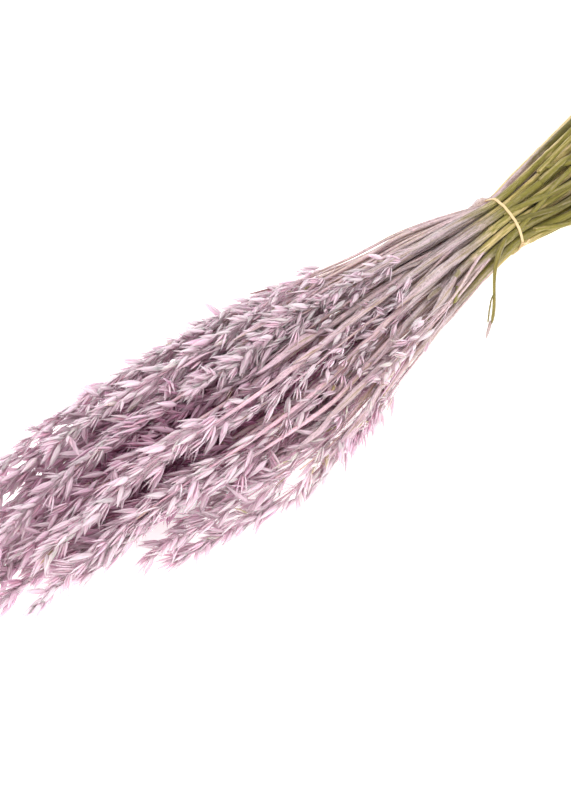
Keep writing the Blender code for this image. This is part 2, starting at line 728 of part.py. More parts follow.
def main():
    for obj in list(bpy.data.objects):
        bpy.data.objects.remove(obj)
    stems = [Stem(number) for number in range(STEM_COUNT)]
    bunch_radius = pack_at_band(stems)
    for stem in stems:
        stem.settle_length(bunch_radius)
    wander_apart(stems)
    point_corner_at_neighbour(stems)
    give_leaves(stems)
    rows = {stem.number: stem_rows(stem) for stem in stems}
    rings = {stem.number: [ring(stem, row) for row in rows[stem.number]] for stem in stems}
    tubes = {}
    for stem in stems:
        ends = end_spikelet(stem, rings[stem.number])
        tubes[stem.number] = tube_tree(rings[stem.number] + grown([ends[:4]]) + [[ends[4]] * 4])
    leaves = settle_leaves(stems, tubes, rows, rings)
    grow_spikelets(stems, rows, rings, tubes, leaves)
    objects = [build_stem(stem, rows[stem.number], rings[stem.number]) for stem in stems]
    at_band = [section_at(rows[stem.number], rings[stem.number], u)
               for stem in stems for u in (-BAND_WIDTH / 2, BAND_WIDTH / 2)]
    objects.append(build_band(at_band))
    centre_on_origin(objects)


main()
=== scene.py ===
"""Looks of the dried oats bundle: dyed straw culms, papery heads, dry leaf blades and the rubber band.

Everything is in metres in the frame of the solid model: the bunch lies along X on the surface Z = 0,
heads toward -X and cut ends toward +X. A place along it is given as u, the distance from the band
toward the heads. The stems follow the same seeded rule as the solids, so each fine stem, leaf and
head lies where its solid does.
"""

import functools
import json
import math
import random
from types import SimpleNamespace

import bmesh
import bpy
import numpy as np
from bpy.props import FloatProperty, FloatVectorProperty, IntProperty, PointerProperty
from mathutils import Matrix, Vector

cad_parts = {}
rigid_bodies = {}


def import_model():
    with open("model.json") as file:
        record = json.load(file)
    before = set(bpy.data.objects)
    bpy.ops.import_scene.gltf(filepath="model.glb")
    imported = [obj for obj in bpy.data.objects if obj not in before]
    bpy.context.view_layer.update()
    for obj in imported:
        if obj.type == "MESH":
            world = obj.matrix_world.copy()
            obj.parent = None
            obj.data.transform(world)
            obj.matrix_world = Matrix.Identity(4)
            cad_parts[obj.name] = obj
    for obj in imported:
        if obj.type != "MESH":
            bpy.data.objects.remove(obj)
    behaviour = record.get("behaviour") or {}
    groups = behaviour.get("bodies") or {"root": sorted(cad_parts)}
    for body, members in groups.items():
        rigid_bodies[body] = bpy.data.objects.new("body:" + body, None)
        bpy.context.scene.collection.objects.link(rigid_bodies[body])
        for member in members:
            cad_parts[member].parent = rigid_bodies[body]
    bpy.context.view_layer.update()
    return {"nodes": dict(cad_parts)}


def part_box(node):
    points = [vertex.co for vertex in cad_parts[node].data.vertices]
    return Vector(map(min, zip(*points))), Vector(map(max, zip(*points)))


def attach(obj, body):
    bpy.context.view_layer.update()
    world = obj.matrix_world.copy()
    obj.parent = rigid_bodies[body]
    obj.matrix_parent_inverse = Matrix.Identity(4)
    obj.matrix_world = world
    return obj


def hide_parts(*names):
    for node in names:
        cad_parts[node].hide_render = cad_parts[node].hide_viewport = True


bl_info = {
    "name": "Dried oats bundle",
    "version": (1, 0, 0),
    "blender": (4, 5, 0),
    "location": "3D View > Sidebar > Oats",
    "description": "Dresses the solid oat stems with fine straw, heads, leaves and a rubber band",
    "category": "Object",
}

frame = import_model()
STEM_NODES = sorted(name for name in frame["nodes"] if name.startswith("oat_stem"))

# The bunch, as its solids follow it
SEED = 17
BAND_TO_CUT_ENDS = 0.150
CUT_END_SCATTER = 0.014
BAND_TO_LONGEST_TIP = 0.560
SHORTEST_TIP = 0.270
OUTER_STEMS_SHORTER = 0.055
NEAR_STEMS_SHORTER = 0.110
NEAR_SIDE = math.radians(212)
TIP_SCATTER = 0.035
SHORT_STEM_SHARE = 0.42
SHORT_STEM_LOSS = (0.04, 0.20)
DRIFT_SPREAD = 0.6
CULM_RADII = (0.0025, 0.0032)
CULM_GAP = 0.00035
CULM_TAPER = 1.3
FLOOR_SEAT = 0.72
START_PITCH = 0.0036
SQUEEZE = 0.02
SQUEEZE_STEPS = 520
SETTLE_STEPS = 180
PUSH_STEPS = 50
HEAD_FOOT_RADIUS = 0.0013
HEAD_END_RADIUS = 0.0009
CULM_STATION = 0.075
STATIONS = range(-2, 9)
BARE_BELOW_HEAD = 0.012
HEAD_LENGTHS = (0.150, 0.200)
# Tables of (distance from the band, value)
SPREAD_ACROSS = ((-0.150, 2.1), (-0.045, 1.35), (0.0, 1.0), (0.026, 1.12), (0.114, 1.80), (0.185, 2.55),
                 (0.240, 3.15), (0.320, 3.30), (0.400, 3.15), (0.480, 2.80), (0.570, 2.40))
SPREAD_UP = ((-0.150, 1.66), (-0.045, 1.14), (0.0, 1.0), (0.026, 1.06), (0.114, 1.35), (0.185, 1.60),
             (0.240, 1.80), (0.320, 1.85), (0.400, 1.75), (0.480, 1.55), (0.570, 1.30))
AXIS_HEIGHT = ((-0.150, 0.032), (0.0, 0.033), (0.114, 0.038), (0.240, 0.047), (0.400, 0.045), (0.570, 0.033))
AXIS_ASIDE = ((-0.150, 0.0), (0.0, 0.0), (0.240, -0.006), (0.430, 0.008), (0.570, 0.002))
TURN_PER_METRE = math.radians(45)
WANDER = ((-0.150, 0.0018), (0.0, 0.0), (0.075, 0.0009), (0.225, 0.0036), (0.300, 0.0040), (0.600, 0.0026))
ROOM = ((-0.150, 0.0012), (-0.075, 0.0008), (0.0, 0.00035), (0.075, 0.0008), (0.150, 0.0022), (0.225, 0.0060),
        (0.300, 0.0078), (0.600, 0.0078))

# Leaves: angle round the bunch from +Y, place of the foot, length, width, lift, sideways drift. The last is
# a stub beyond the band
LEAF_CLEAR = 0.0010
LEAF_ARCH = 1.15
METRES_INWARD_PER_RADIAN = 0.030
LEAVES_OVER = (
    (80, 0.012, 0.165, 0.0080, 0.006, 0.004), (118, 0.040, 0.110, 0.0085, 0.006, -0.003),
    (76, 0.160, 0.110, 0.0085, 0.012, -0.004), (98, 0.200, 0.075, 0.0080, 0.012, 0.002),
    (166, 0.172, 0.100, 0.0100, 0.010, 0.002), (186, 0.255, 0.080, 0.0085, 0.010, -0.004),
    (134, 0.074, 0.050, 0.0075, 0.009, 0.004), (36, -0.014, 0.042, 0.0070, 0.005, 0.000),
    (12, 0.085, 0.130, 0.0080, 0.008, 0.003), (338, 0.130, 0.110, 0.0085, 0.008, -0.002),
    (52, 0.225, 0.090, 0.0080, 0.012, 0.003), (104, -0.040, -0.034, 0.0060, 0.006, 0.000),
)
HANGING_LEAF_ANGLE = 160
HANGING_LEAF_FOOT = 0.010
REST_LEAVES = ((244, -0.014), (298, 0.014))
REST_LEAF_FOOT = 0.215
REST_LEAF_FALL = 0.40
REST_LEAF_LENGTH = 0.105
REST_LEAF_WIDTH = 0.0100

# Elastic band
BAND_WIDTH = 0.0024
BAND_THICKNESS = 0.0010
BAND_NUB_LENGTH = 0.0085
BAND_NUB_ANGLE = math.radians(184)
TIE_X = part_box("elastic_band")[0][0] + BAND_WIDTH / 2

# Camera and light, at the photograph's viewing angle
IMAGE_WIDTH = 571
IMAGE_HEIGHT = 800
LENS_MM = 85.0
SENSOR_MM = 36.0
VIEW_AZIMUTH = math.radians(-43)
VIEW_ELEVATION = math.radians(52)
VIEW_DISTANCE = 1.50
TIE_PIXEL = (503, 229)
TIE_ASIDE = -0.004
TIE_HEIGHT = 0.033
LIT_POINT = Vector((-0.05, 0, 0.05))
WORLD_LIGHT = 1.58
FLOOR_GLOW = 0.60
FLOOR_HALF = 4.0
FLOOR_Z = -0.0004
# Name, direction as shares of the view's up, back and right, distance, size, power
LAMPS = (("Key", (0.55, 0.8, -0.25), 2.2, 1.5, 1.8), ("Fill", (-0.6, 0.8, 0.3), 2.4, 1.8, 9))


def mix(a, b, t):
    return a + (b - a) * t


def limited(value):
    """The value kept between 0 and 1."""
    return min(1.0, max(0.0, value))


def eased(share):
    """A share from 0 to 1 with a level start and end."""
    return share * share * (3 - 2 * share)


def slope_at(points, i):
    """Slope of the smooth curve at its point i: level at a high or low point, so that it never overshoots."""
    slopes = [(points[k + 1][1] - points[k][1]) / (points[k + 1][0] - points[k][0])
              for k in (i - 1, i) if 0 <= k < len(points) - 1]
    before, after = slopes[0], slopes[-1]
    if len(slopes) == 1:
        return before
    return 0.0 if before * after <= 0 else 2 * before * after / (before + after)


def smooth(points, u):
    """Value at u of the smooth curve through (u, value) points, held level past its ends."""
    if u <= points[0][0]:
        return points[0][1]
    if u >= points[-1][0]:
        return points[-1][1]
    i = next(k for k in range(len(points) - 1) if points[k + 1][0] >= u)
    span = points[i + 1][0] - points[i][0]
    t = (u - points[i][0]) / span
    start, end = points[i][1], points[i + 1][1]
    rise, fall = slope_at(points, i) * span, slope_at(points, i + 1) * span
    return ((2 * t ** 3 - 3 * t ** 2 + 1) * start + (t ** 3 - 2 * t ** 2 + t) * rise
            + (3 * t ** 2 - 2 * t ** 3) * end + (t ** 3 - t ** 2) * fall)


def smooth_route(points, count):
    """Points along a smooth curve through the route's own points."""
    curves = [tuple((k, p[axis]) for k, p in enumerate(points)) for axis in range(3)]
    last = len(points) - 1
    return [Vector(smooth(curve, last * i / count) for curve in curves) for i in range(count + 1)]


def turned(vector, axis, angle):
    return Matrix.Rotation(angle, 3, axis) @ vector


def from_axis(angle):
    """Unit direction out of the bunch at an angle in radians round it from +Y."""
    return Vector((0, math.cos(angle), math.sin(angle)))


def beside(out):
    """Direction round the bunch, a quarter turn on from an outward one."""
    return Vector((0, -out.z, out.y))


def middle(u):
    return Vector((-u, smooth(AXIS_ASIDE, u), smooth(AXIS_HEIGHT, u)))


def angle_round(point, u):
    """Angle round the bunch from +Y of a point at u."""
    return math.atan2(point.z - smooth(AXIS_HEIGHT, u), point.y - smooth(AXIS_ASIDE, u))


class Stem:
    """One oat stem of the solid model: its place in the band, thickness, end and wandering."""

    def __init__(self, number):
        draw = random.Random(SEED * 1000 + number)
        self.number = number
        self.radius = mix(*CULM_RADII, draw.random())
        angle = number * math.pi * (3 - math.sqrt(5))
        reach = START_PITCH * math.sqrt(number + 0.5)
        self.y, self.z = reach * math.cos(angle), reach * math.sin(angle)
        self.cut = -(BAND_TO_CUT_ENDS - draw.uniform(0, CUT_END_SCATTER))
        self.length_draw = draw.random()
        self.short_draw = draw.random()
        self.head = mix(*HEAD_LENGTHS, draw.random())
        self.drift = {k: (draw.gauss(0, DRIFT_SPREAD), draw.gauss(0, DRIFT_SPREAD)) for k in STATIONS}
        self.shifts = ([], [])
        self.leaf = None

    def settle_length(self, bunch_radius):
        outward = min(1.0, math.hypot(self.y, self.z) / bunch_radius)
        near = max(0.0, math.cos(math.atan2(self.z, self.y) - NEAR_SIDE))
        tip = BAND_TO_LONGEST_TIP - OUTER_STEMS_SHORTER * outward ** 2 - NEAR_STEMS_SHORTER * outward * near
        tip -= TIP_SCATTER * self.length_draw
        if self.short_draw < SHORT_STEM_SHARE:
            tip -= mix(*SHORT_STEM_LOSS, self.short_draw / SHORT_STEM_SHARE)
        self.tip = max(tip, SHORTEST_TIP)
        self.head_foot = self.tip - self.head

    def radius_at(self, u):
        if u <= 0:
            return self.radius
        if u >= self.head_foot:
            return mix(HEAD_FOOT_RADIUS, HEAD_END_RADIUS, (u - self.head_foot) / self.head)
        return mix(self.radius, HEAD_FOOT_RADIUS, (u / self.head_foot) ** CULM_TAPER)

    def even_place(self, u):
        turn = TURN_PER_METRE * u
        y = self.y * math.cos(turn) - self.z * math.sin(turn)
        z = self.y * math.sin(turn) + self.z * math.cos(turn)
        y = smooth(AXIS_ASIDE, u) + y * smooth(SPREAD_ACROSS, u)
        return y, smooth(AXIS_HEIGHT, u) + z * smooth(SPREAD_UP, u)

    def route(self, u):
        y, z = self.even_place(u)
        y, z = y + smooth(self.shifts[0], u), z + smooth(self.shifts[1], u)
        return Vector((-u, y, max(z, FLOOR_SEAT * self.radius_at(u))))

    def heading(self, u):
        return (self.route(u + 0.004) - self.route(u - 0.004)).normalized()

    def side_at(self, u):
        """Direction out of the bunch's middle at this stem, as an angle round the bunch from +Y."""
        return angle_round(self.route(u), u)


def part_pairs(places, radii, room, lowest=None):
    """Move every two round places that overlap apart, once, and keep each above its lowest height."""
    for i, one in enumerate(places):
        for j in range(i + 1, len(places)):
            other = places[j]
            dy, dz = other[0] - one[0], other[1] - one[1]
            gap = math.hypot(dy, dz)
            short = radii[i] + radii[j] + room - gap
            if short > 0:
                dy, dz = dy / gap * short * 0.5, dz / gap * short * 0.5
                one[0], one[1] = one[0] - dy, one[1] - dz
                other[0], other[1] = other[0] + dy, other[1] + dz
        if lowest:
            one[1] = max(one[1], lowest[i])


def pack_at_band(stems):
    """Press the culms together round the band's centre until they lie a hair apart."""
    places = [[stem.y, stem.z] for stem in stems]
    radii = [stem.radius for stem in stems]
    for step in range(SQUEEZE_STEPS + SETTLE_STEPS):
        pull = SQUEEZE if step < SQUEEZE_STEPS else 0.0
        places = [[y - pull * y, z - pull * z] for y, z in places]
        part_pairs(places, radii, CULM_GAP)
    for stem, pressed in zip(stems, places):
        stem.y, stem.z = pressed
    return max(math.hypot(*spot) for spot in places)


def wander_apart(stems):
    """Walk from the band to each end, letting each stem stray a little more at every station."""
    for stations in (range(STATIONS.stop), range(-1, STATIONS.start - 1, -1)):
        strayed = [(0.0, 0.0)] * len(stems)
        for k in stations:
            u = k * CULM_STATION
            step, room = smooth(WANDER, u), smooth(ROOM, u)
            even = [stem.even_place(u) for stem in stems]
            places = [[y + dy + step * stem.drift[k][0], z + dz + step * stem.drift[k][1]]
                      for stem, (y, z), (dy, dz) in zip(stems, even, strayed)]
            radii = [stem.radius_at(u) for stem in stems]
            lowest = [FLOOR_SEAT * radius for radius in radii]
            for _ in range(PUSH_STEPS if k else 0):
                part_pairs(places, radii, room, lowest)
            strayed = [(spot[0] - y, spot[1] - z) for spot, (y, z) in zip(places, even)]
            for stem, shift in zip(stems, strayed):
                stem.shifts[0].append((u, shift[0]))
                stem.shifts[1].append((u, shift[1]))
    for stem in stems:
        stem.shifts[0].sort()
        stem.shifts[1].sort()


def chord(stem, u):
    """The solid culm's axis at u, straight between the stations that all culms share."""
    if u >= stem.head_foot:
        return stem.route(u)
    below = math.floor(u / CULM_STATION) * CULM_STATION
    return stem.route(below).lerp(stem.route(below + CULM_STATION), (u - below) / CULM_STATION)


def give_leaf(stems, angle, foot, kind, **sizes):
    """Give a leaf to the outermost free stem nearest an angle round the bunch, as the solids do."""
    wanted = math.radians(angle)

    def miss(stem):
        apart = abs((angle_round(chord(stem, foot), foot) - wanted + math.pi) % (2 * math.pi) - math.pi)
        return apart * METRES_INWARD_PER_RADIAN - math.hypot(stem.y, stem.z)
    free = [stem for stem in stems if not stem.leaf and stem.head_foot > foot + BARE_BELOW_HEAD]
    stem = min(free, key=miss)
    stem.corner = wanted - math.pi / 4
    stem.leaf = SimpleNamespace(kind=kind, foot=foot, side=wanted, **sizes)


def give_leaves(stems):
    for stem in stems:
        others = [other for other in stems if other is not stem]
        near = min(others, key=lambda o: math.hypot(o.y - stem.y, o.z - stem.z) - o.radius)
        stem.corner = math.atan2(near.z - stem.z, near.y - stem.y)
    for angle, foot, length, width, lift, drift in LEAVES_OVER:
        give_leaf(stems, angle, foot, "over", length=length, width=width, lift=lift, drift=drift)
    give_leaf(stems, HANGING_LEAF_ANGLE, HANGING_LEAF_FOOT, "hanging")
    for angle, drift in REST_LEAVES:
        give_leaf(stems, angle, REST_LEAF_FOOT, "rest", drift=drift)


def grow_stems():
    """The stems as the solids have them, and the shift from their own frame to the model's."""
    stems = [Stem(number) for number in range(len(STEM_NODES))]
    bunch_radius = pack_at_band(stems)
    for stem in stems:
        stem.settle_length(bunch_radius)
    wander_apart(stems)
    give_leaves(stems)
    sides = [stem.y + stem.radius * math.cos(stem.corner + k * math.pi / 2)
             for stem in stems for k in range(4)]
    low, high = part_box("elastic_band")
    aside = (low[1] + high[1]) / 2 - (min(sides) + max(sides)) / 2
    return stems, Vector((TIE_X, aside, 0.0)), bunch_radius


STEMS, SHIFT, BUNCH_RADIUS = grow_stems()
# A point's depth in the bunch, fading out toward the tips between these distances from the band, sets painted
# shade on the glumes and painted fill light on the straws and leaves.
DEPTH_FADES = (0.360, 0.540)


def depth_at(point):
    """How deep inside the bunch a point of a route lies: 0 near its outside and its tips, 1 in its middle."""
    u = -point.x
    across = (point.y - smooth(AXIS_ASIDE, u)) / smooth(SPREAD_ACROSS, u)
    up = (point.z - smooth(AXIS_HEIGHT, u)) / smooth(SPREAD_UP, u)
    inward = (0.95 - math.hypot(across, up) / BUNCH_RADIUS) / 0.55
    return limited(inward) * limited((DEPTH_FADES[1] - u) / (DEPTH_FADES[1] - DEPTH_FADES[0]))


def linear(code):
    """An sRGB hex colour as the linear red, green and blue that Blender's shaders take."""
    parts = [int(code[i:i + 2], 16) / 255 for i in (1, 3, 5)]
    return tuple(c / 12.92 if c <= 0.04045 else ((c + 0.055) / 1.055) ** 2.4 for c in parts)


def size(name, description, default):
    return FloatProperty(name=name, description=description, default=default, unit="LENGTH")


def share(name, description, default):
    return FloatProperty(name=name, description=description, default=default, subtype="FACTOR")


def count(name, description, default, least, most):
    return IntProperty(name=name, description=description, default=default, min=least, max=most)


def colour(name, description, code):
    return FloatVectorProperty(name=name, description=description, subtype="COLOR", size=3, min=0, max=1,
                               default=linear(code))


class OatsHeads(bpy.types.PropertyGroup):
    """How full the heads are."""
    spikelets: count("Spikelets a head", "Spikelets on each stem's head", 66, 10, 90)
    length: size("Spikelet length", "Length of a full-grown spikelet", 0.0225)
    width: size("Glume width", "Width of one glume, unfolded and laid flat", 0.0054)
    reach: size("Head reach", "How far a head's spikelets sit from its axis", 0.0098)
    stalk: size("Stalk thickness", "Thickness of the stalk that bears a spikelet", 0.00056)


class OatsStraw(bpy.types.PropertyGroup):
    """The culms, their leaves and the band."""
    sides: count("Culm sides", "Faces round each culm", 12, 6, 24)
    knot: share("Knot swelling", "How much thicker a culm is at its knots", 0.16)
    extra_leaves: count("Loose leaves", "Dry leaf blades between the culms", 54, 0, 120)
    scraps: count("Torn scraps", "Short torn pieces of sheath that stand off the culms", 26, 0, 80)
    withered: count("Withered leaves", "Shrivelled, twisted blades below the heads", 30, 0, 60)
    leaf_thickness: size("Leaf thickness", "Thickness of a dry leaf blade", 0.00026)
    hollow: share("Hollow", "Bore of a cut culm against its thickness", 0.58)
    band_width: size("Band width", "Width of the elastic band", BAND_WIDTH)


class OatsColours(bpy.types.PropertyGroup):
    """Dye and straw colours."""
    dye_light: colour("Light dye", "Powdery lilac where the dye lies thin", "#E9C9D9")
    dye_mid: colour("Middle dye", "Lilac of most of the heads", "#F2C8DA")
    dye_deep: colour("Deep dye", "Mauve where the dye has pooled", "#EAB4CC")
    # Painted shade: the glumes deep in the bunch are multiplied by this colour. A leaf's inner face also
    # takes it, mixed with deep dyed straw, as its own tint.
    inner_tint_and_painted_shade: colour("Inner tint and painted shade", "Painted shade on the glumes deep in the bunch; also tints a leaf's inner face", "#DDA4C6")
    straw_light: colour("Light dyed straw", "Powder on the ribs of a dyed culm or leaf", "#C8B4B3")
    straw_mid: colour("Middle dyed straw", "Greyish lilac of the culms and leaves", "#B9A2A2")
    straw_deep: colour("Deep dyed straw", "Mauve brown between the ribs", "#9C817C")
    cream: colour("Cream", "Straw that took little dye", "#EDDAC5")
    green: colour("Undyed green", "Straw beyond the dye", "#7F7735")
    olive: colour("Deep green", "Shaded or fresher straw", "#625B2A")
    tan: colour("Undyed tan", "Ripe straw", "#CEB877")
    bran: colour("Bran", "Bare straw that shows in streaks through the dye", "#B39C7A")
    rubber: colour("Rubber", "Natural elastic", "#DDC095")
    floor: colour("Floor", "Pale surface under the bunch", "#F7F6F4")


# A word for each node that is used often: its type, settings, the inputs its values go to, its output
NODE_WORDS = {word: ("ShaderNodeMath", {"operation": operation}, (0, 1, 2), 0) for word, operation in (
    ("times", "MULTIPLY"), ("plus", "ADD"), ("less", "SUBTRACT"), ("scaled", "MULTIPLY_ADD"),
    ("sine", "SINE"), ("power", "POWER"), ("unsigned", "ABSOLUTE"), ("at least", "MAXIMUM"))}
NODE_WORDS.update({
    "attribute": ("ShaderNodeAttribute", {}, (), "Fac"),
    "range": ("ShaderNodeMapRange", {}, range(5), 0),
    "blend": ("ShaderNodeMix", {"data_type": "RGBA"}, (0, 6, 7), 2),
    "filter": ("ShaderNodeMix", {"data_type": "RGBA", "blend_type": "MULTIPLY"}, (0, 6, 7), 2),
    "ramp": ("ShaderNodeValToRGB", {}, (0,), "Color"),
    "bump": ("ShaderNodeBump", {}, ("Height", "Distance", "Strength"), 0),
    "named": ("GeometryNodeInputNamedAttribute", {}, ("Name",), "Attribute"),
    "store": ("GeometryNodeStoreNamedAttribute", {}, ("Geometry", "Name", "Value"), 0),
})
VECTOR = {"data_type": "FLOAT_VECTOR"}


def plug(tree, node, inputs):
    """Set a node's inputs; one that is given as a socket is linked."""
    for key, value in inputs.items():
        if isinstance(value, bpy.types.NodeSocket):
            tree.links.new(value, node.inputs[key])
        else:
            node.inputs[key].default_value = value


def add_node(tree, word, *values, **settings):
    """Add a node with its settings and inputs, and return its output.

    It is named by its word, or by its type, and then its inputs come as one dictionary.
    """
    kind, fixed, slots, output = NODE_WORDS.get(word, (word, {}, (), 0))
    node = tree.nodes.new(kind)
    for name, value in {**fixed, **settings}.items():
        setattr(node, name, value)
    plug(tree, node, dict(zip(slots, values)) if slots else (values or ({},))[0])
    return node.outputs[output]


def new_material(name, keys=()):
    """An empty material wired to its Principled shader, and the mesh attributes that it reads."""
    tree = bpy.data.materials.new(name)
    tree.use_nodes = True
    tree = tree.node_tree
    tree.nodes.clear()
    surface = add_node(tree, "ShaderNodeBsdfPrincipled")
    plug(tree, tree.nodes.new("ShaderNodeOutputMaterial"), {"Surface": surface})
    return tree, surface.node, (add_node(tree, "attribute", attribute_name=key) for key in keys)


def paint(a, b=None, t=0.0):
    """A colour, or a blend of two, with its alpha."""
    return (*(mix(x, y, t) for x, y in zip(a, b or a)), 1.0)


def with_stops(ramp, stops):
    """Give a colour ramp its (place, colour) stops."""
    elements = ramp.node.color_ramp.elements
    elements.remove(elements[-1])
    elements[0].position, elements[0].color = stops[0]
    for place_at, shade in stops[1:]:
        elements.new(place_at).color = shade
    return ramp


def streaks(tree, length_mm, width_mm, detail=3.0):
    """Noise drawn out along the straw: its features are about this long and wide."""
    grain = add_node(tree, "attribute", attribute_name="grain").node.outputs["Vector"]
    finer = (1000 / length_mm, 1000 / width_mm, 1000 / width_mm)
    grain = add_node(tree, "ShaderNodeMapping", {"Vector": grain, "Scale": finer})
    noise = add_node(tree, "ShaderNodeTexNoise", {"Vector": grain, "Scale": 1.0, "Detail": detail})
    return noise.node.outputs["Fac"]


def tinted(tree, base, shade):
    """The base colour made darker or lighter by one number."""
    grey = add_node(tree, "ShaderNodeCombineColor", {0: shade, 1: shade, 2: shade})
    return add_node(tree, "filter", 1.0, base, grey)


def straw_finish(name, colours, rib_mm, bump_mm, veins=0):
    """Dried oat straw, dip-dyed: a dull waxy skin with fine ribs. The dye lies on it as a powder, patchy
    and speckled, with bare streaks of bran colour, and it thins out toward the band, where the straw's
    own green and tan come through."""
    keys = ("tone", "dye", "deep", "inner", "across")
    tree, shader, (tone, dye, deep, inner, across) = new_material(name, keys)
    node = functools.partial(add_node, tree)
    patches, bare, ribs, fibres = (streaks(tree, *sizes) for sizes in (
        (30, 3.0, 4.0), (55, 1.6, 3.0), (60, rib_mm, 2.0), (12, rib_mm * 0.6, 2.0)))
    powder, lilac, specks, cracks = (streaks(tree, *sizes) for sizes in (
        (2.2, 1.3, 3.0), (42, 2.6, 2.0), (4.0, 1.0, 4.0), (26, 0.9, 1.0)))
    undyed = with_stops(node("ramp", node("plus", tone, node("scaled", patches, 0.7, -0.35))), (
        (0.05, paint(colours.olive)), (0.34, paint(colours.green)), (0.58, paint(colours.green)),
        (0.74, paint(colours.tan)), (1.0, paint(colours.tan, colours.cream, 0.4))))
    mixed = node("plus", node("times", tone, 0.35), node("scaled", patches, 1.9, -0.57))
    mixed = node("plus", mixed, node("scaled", powder, 0.9, -0.45))
    dyed = with_stops(node("ramp", mixed), (
        (0.18, paint(colours.straw_deep)), (0.42, paint(colours.straw_mid)),
        (0.62, paint(colours.straw_light)),
        (0.74, paint(colours.straw_light, colours.dye_light, 0.3)),
        (0.90, paint(colours.straw_mid, colours.cream, 0.25))))
    mauve = node("times", node("less", dye, 1.0, use_clamp=True), 0.75)
    dyed = node("blend", mauve, dyed, paint(colours.dye_mid, colours.dye_deep, 0.6))
    lilac = node("range", lilac, 0.48, 0.60, 0.0, 0.50)
    dyed = node("blend", lilac, dyed, paint(colours.straw_light, colours.dye_mid, 0.60))
    dyed = node("blend", node("range", bare, 0.53, 0.67, 0.0, 0.80), dyed, paint(colours.bran))
    dyed = tinted(tree, dyed, node("scaled", node("times", dye, 1.0, use_clamp=True), 0.32, 0.68))
    uneven = node("plus", node("scaled", patches, 1.5, -0.75), node("scaled", powder, 0.5, -0.25))
    cover = node("scaled", dye, 2.4, uneven, use_clamp=True)
    base = node("blend", cover, undyed, dyed)
    shade = node("scaled", ribs, 0.50, 0.73)
    for factor in (node("scaled", fibres, 0.4, 0.80), node("range", specks, 0.55, 0.66, 1.0, 0.72),
                   node("scaled", powder, 0.44, 0.77), node("range", cracks, 0.60, 0.68, 1.0, 0.62)):
        shade = node("times", shade, factor)
    shade = node("at least", shade, 0.64)
    relief = node("scaled", powder, 0.35, ribs)
    if veins:
        inside = paint(colours.inner_tint_and_painted_shade, colours.straw_deep, 0.6)
        base = node("filter", node("times", inner, 0.8), base, inside)
        wave = node("sine", node("times", across, veins * math.pi))
        shade = node("times", shade, node("scaled", wave, 0.09, 0.96))
        relief = node("scaled", wave, 0.4, relief)
    base = tinted(tree, base, shade)
    # Painted fill light: straws and leaves deep in the bunch are blended toward a pale colour, which lifts
    # the shade between them.
    pale = paint(colours.cream, colours.dye_light, 0.5)
    base = node("blend", node("times", node("times", deep, 0.55), cover), base, pale)
    plug(tree, shader, {
        "Base Color": base, "Roughness": node("scaled", fibres, 0.25, 0.55),
        "Normal": node("bump", relief, bump_mm / 1000, 0.9), "IOR": 1.45, "Specular IOR Level": 0.25,
        "Sheen Weight": 0.08, "Sheen Roughness": 0.5, "Subsurface Weight": 0.35,
        "Subsurface Radius": (1.0, 0.8, 0.7), "Subsurface Scale": 0.0030})


def glume_finish(name, colours):
    """Papery oat glumes, dyed and dried: thin matt scales that let some light through, with fine
    lengthwise veins, paler edges and tips, and a few spikelets that kept their straw colour."""
    keys = ("tone", "own", "along", "across", "inner", "deep")
    tree, shader, (tone, own, along, across, inner, deep) = new_material(name, keys)
    node = functools.partial(add_node, tree)
    own = node("scaled", node("plus", tone, own), 0.86, -0.06)
    own = node("scaled", streaks(tree, 6.0, 1.4, 2.0), 0.26, own)
    dyed = with_stops(node("ramp", own), (
        (0.00, paint(colours.olive, colours.tan, 0.35)), (0.040, paint(colours.olive, colours.tan, 0.5)),
        (0.060, paint(colours.cream, colours.dye_light, 0.4)),
        (0.10, paint(colours.cream, colours.dye_mid, 0.6)),
        (0.18, paint(colours.dye_mid)), (0.38, paint(colours.dye_deep)), (0.52, paint(colours.dye_mid)),
        (0.70, paint(colours.dye_mid, colours.dye_light, 0.6)),
        (0.88, paint(colours.dye_light, colours.cream, 0.3)), (1.0, paint(colours.dye_mid))))
    paler = node("times", node("power", node("unsigned", across), 3.0), 0.12)
    base = node("blend", paler, dyed, paint(colours.dye_light, colours.cream, 0.35))
    base = node("blend", node("times", inner, 0.50), base, paint(colours.cream, colours.dye_mid, 0.70))
    veins = node("sine", node("times", across, 3.5 * math.pi))
    foot = node("power", node("less", 1.0, along), 5.0)
    shade = node("times", node("scaled", veins, 0.035, 0.965), node("scaled", foot, -0.22, 1.0))
    # Painted shade: glumes deep in the bunch are multiplied by a mauve tint, so the middle of the bunch is
    # darker and more saturated than the light alone makes it.
    base = node("filter", deep, tinted(tree, base, shade), paint(colours.inner_tint_and_painted_shade))
    plug(tree, shader, {
        "Base Color": base, "Normal": node("bump", veins, 0.00008, 0.6), "Roughness": 0.62, "IOR": 1.45,
        "Sheen Weight": 0.10, "Sheen Roughness": 0.45, "Subsurface Weight": 0.88,
        "Subsurface Radius": (1.0, 0.7, 0.9), "Subsurface Scale": 0.0030})


def rubber_finish(name, colours):
    """Natural rubber band, extruded and cut: a dull satin tan with fine lengthwise drag marks."""
    tree, shader, _ = new_material(name)
    marks = streaks(tree, 9.0, 0.35, 2.0)
    mottled = with_stops(add_node(tree, "ramp", streaks(tree, 6.0, 2.0, 3.0)), (
        (0.30, paint(colours.rubber, colours.tan, 0.5)), (0.60, paint(colours.rubber))))
    plug(tree, shader, {
        "Base Color": tinted(tree, mottled, add_node(tree, "scaled", marks, 0.30, 0.82)),
        "Normal": add_node(tree, "bump", marks, 0.0001, 0.5), "Roughness": 0.48, "IOR": 1.52})


def floor_finish(name, colours):
    """White acrylic, lit from below: even and matt."""
    tree, shader, _ = new_material(name)
    plug(tree, shader, {"Base Color": paint(colours.floor), "Roughness": 0.9,
                        "Emission Color": paint(colours.floor), "Emission Strength": FLOOR_GLOW})


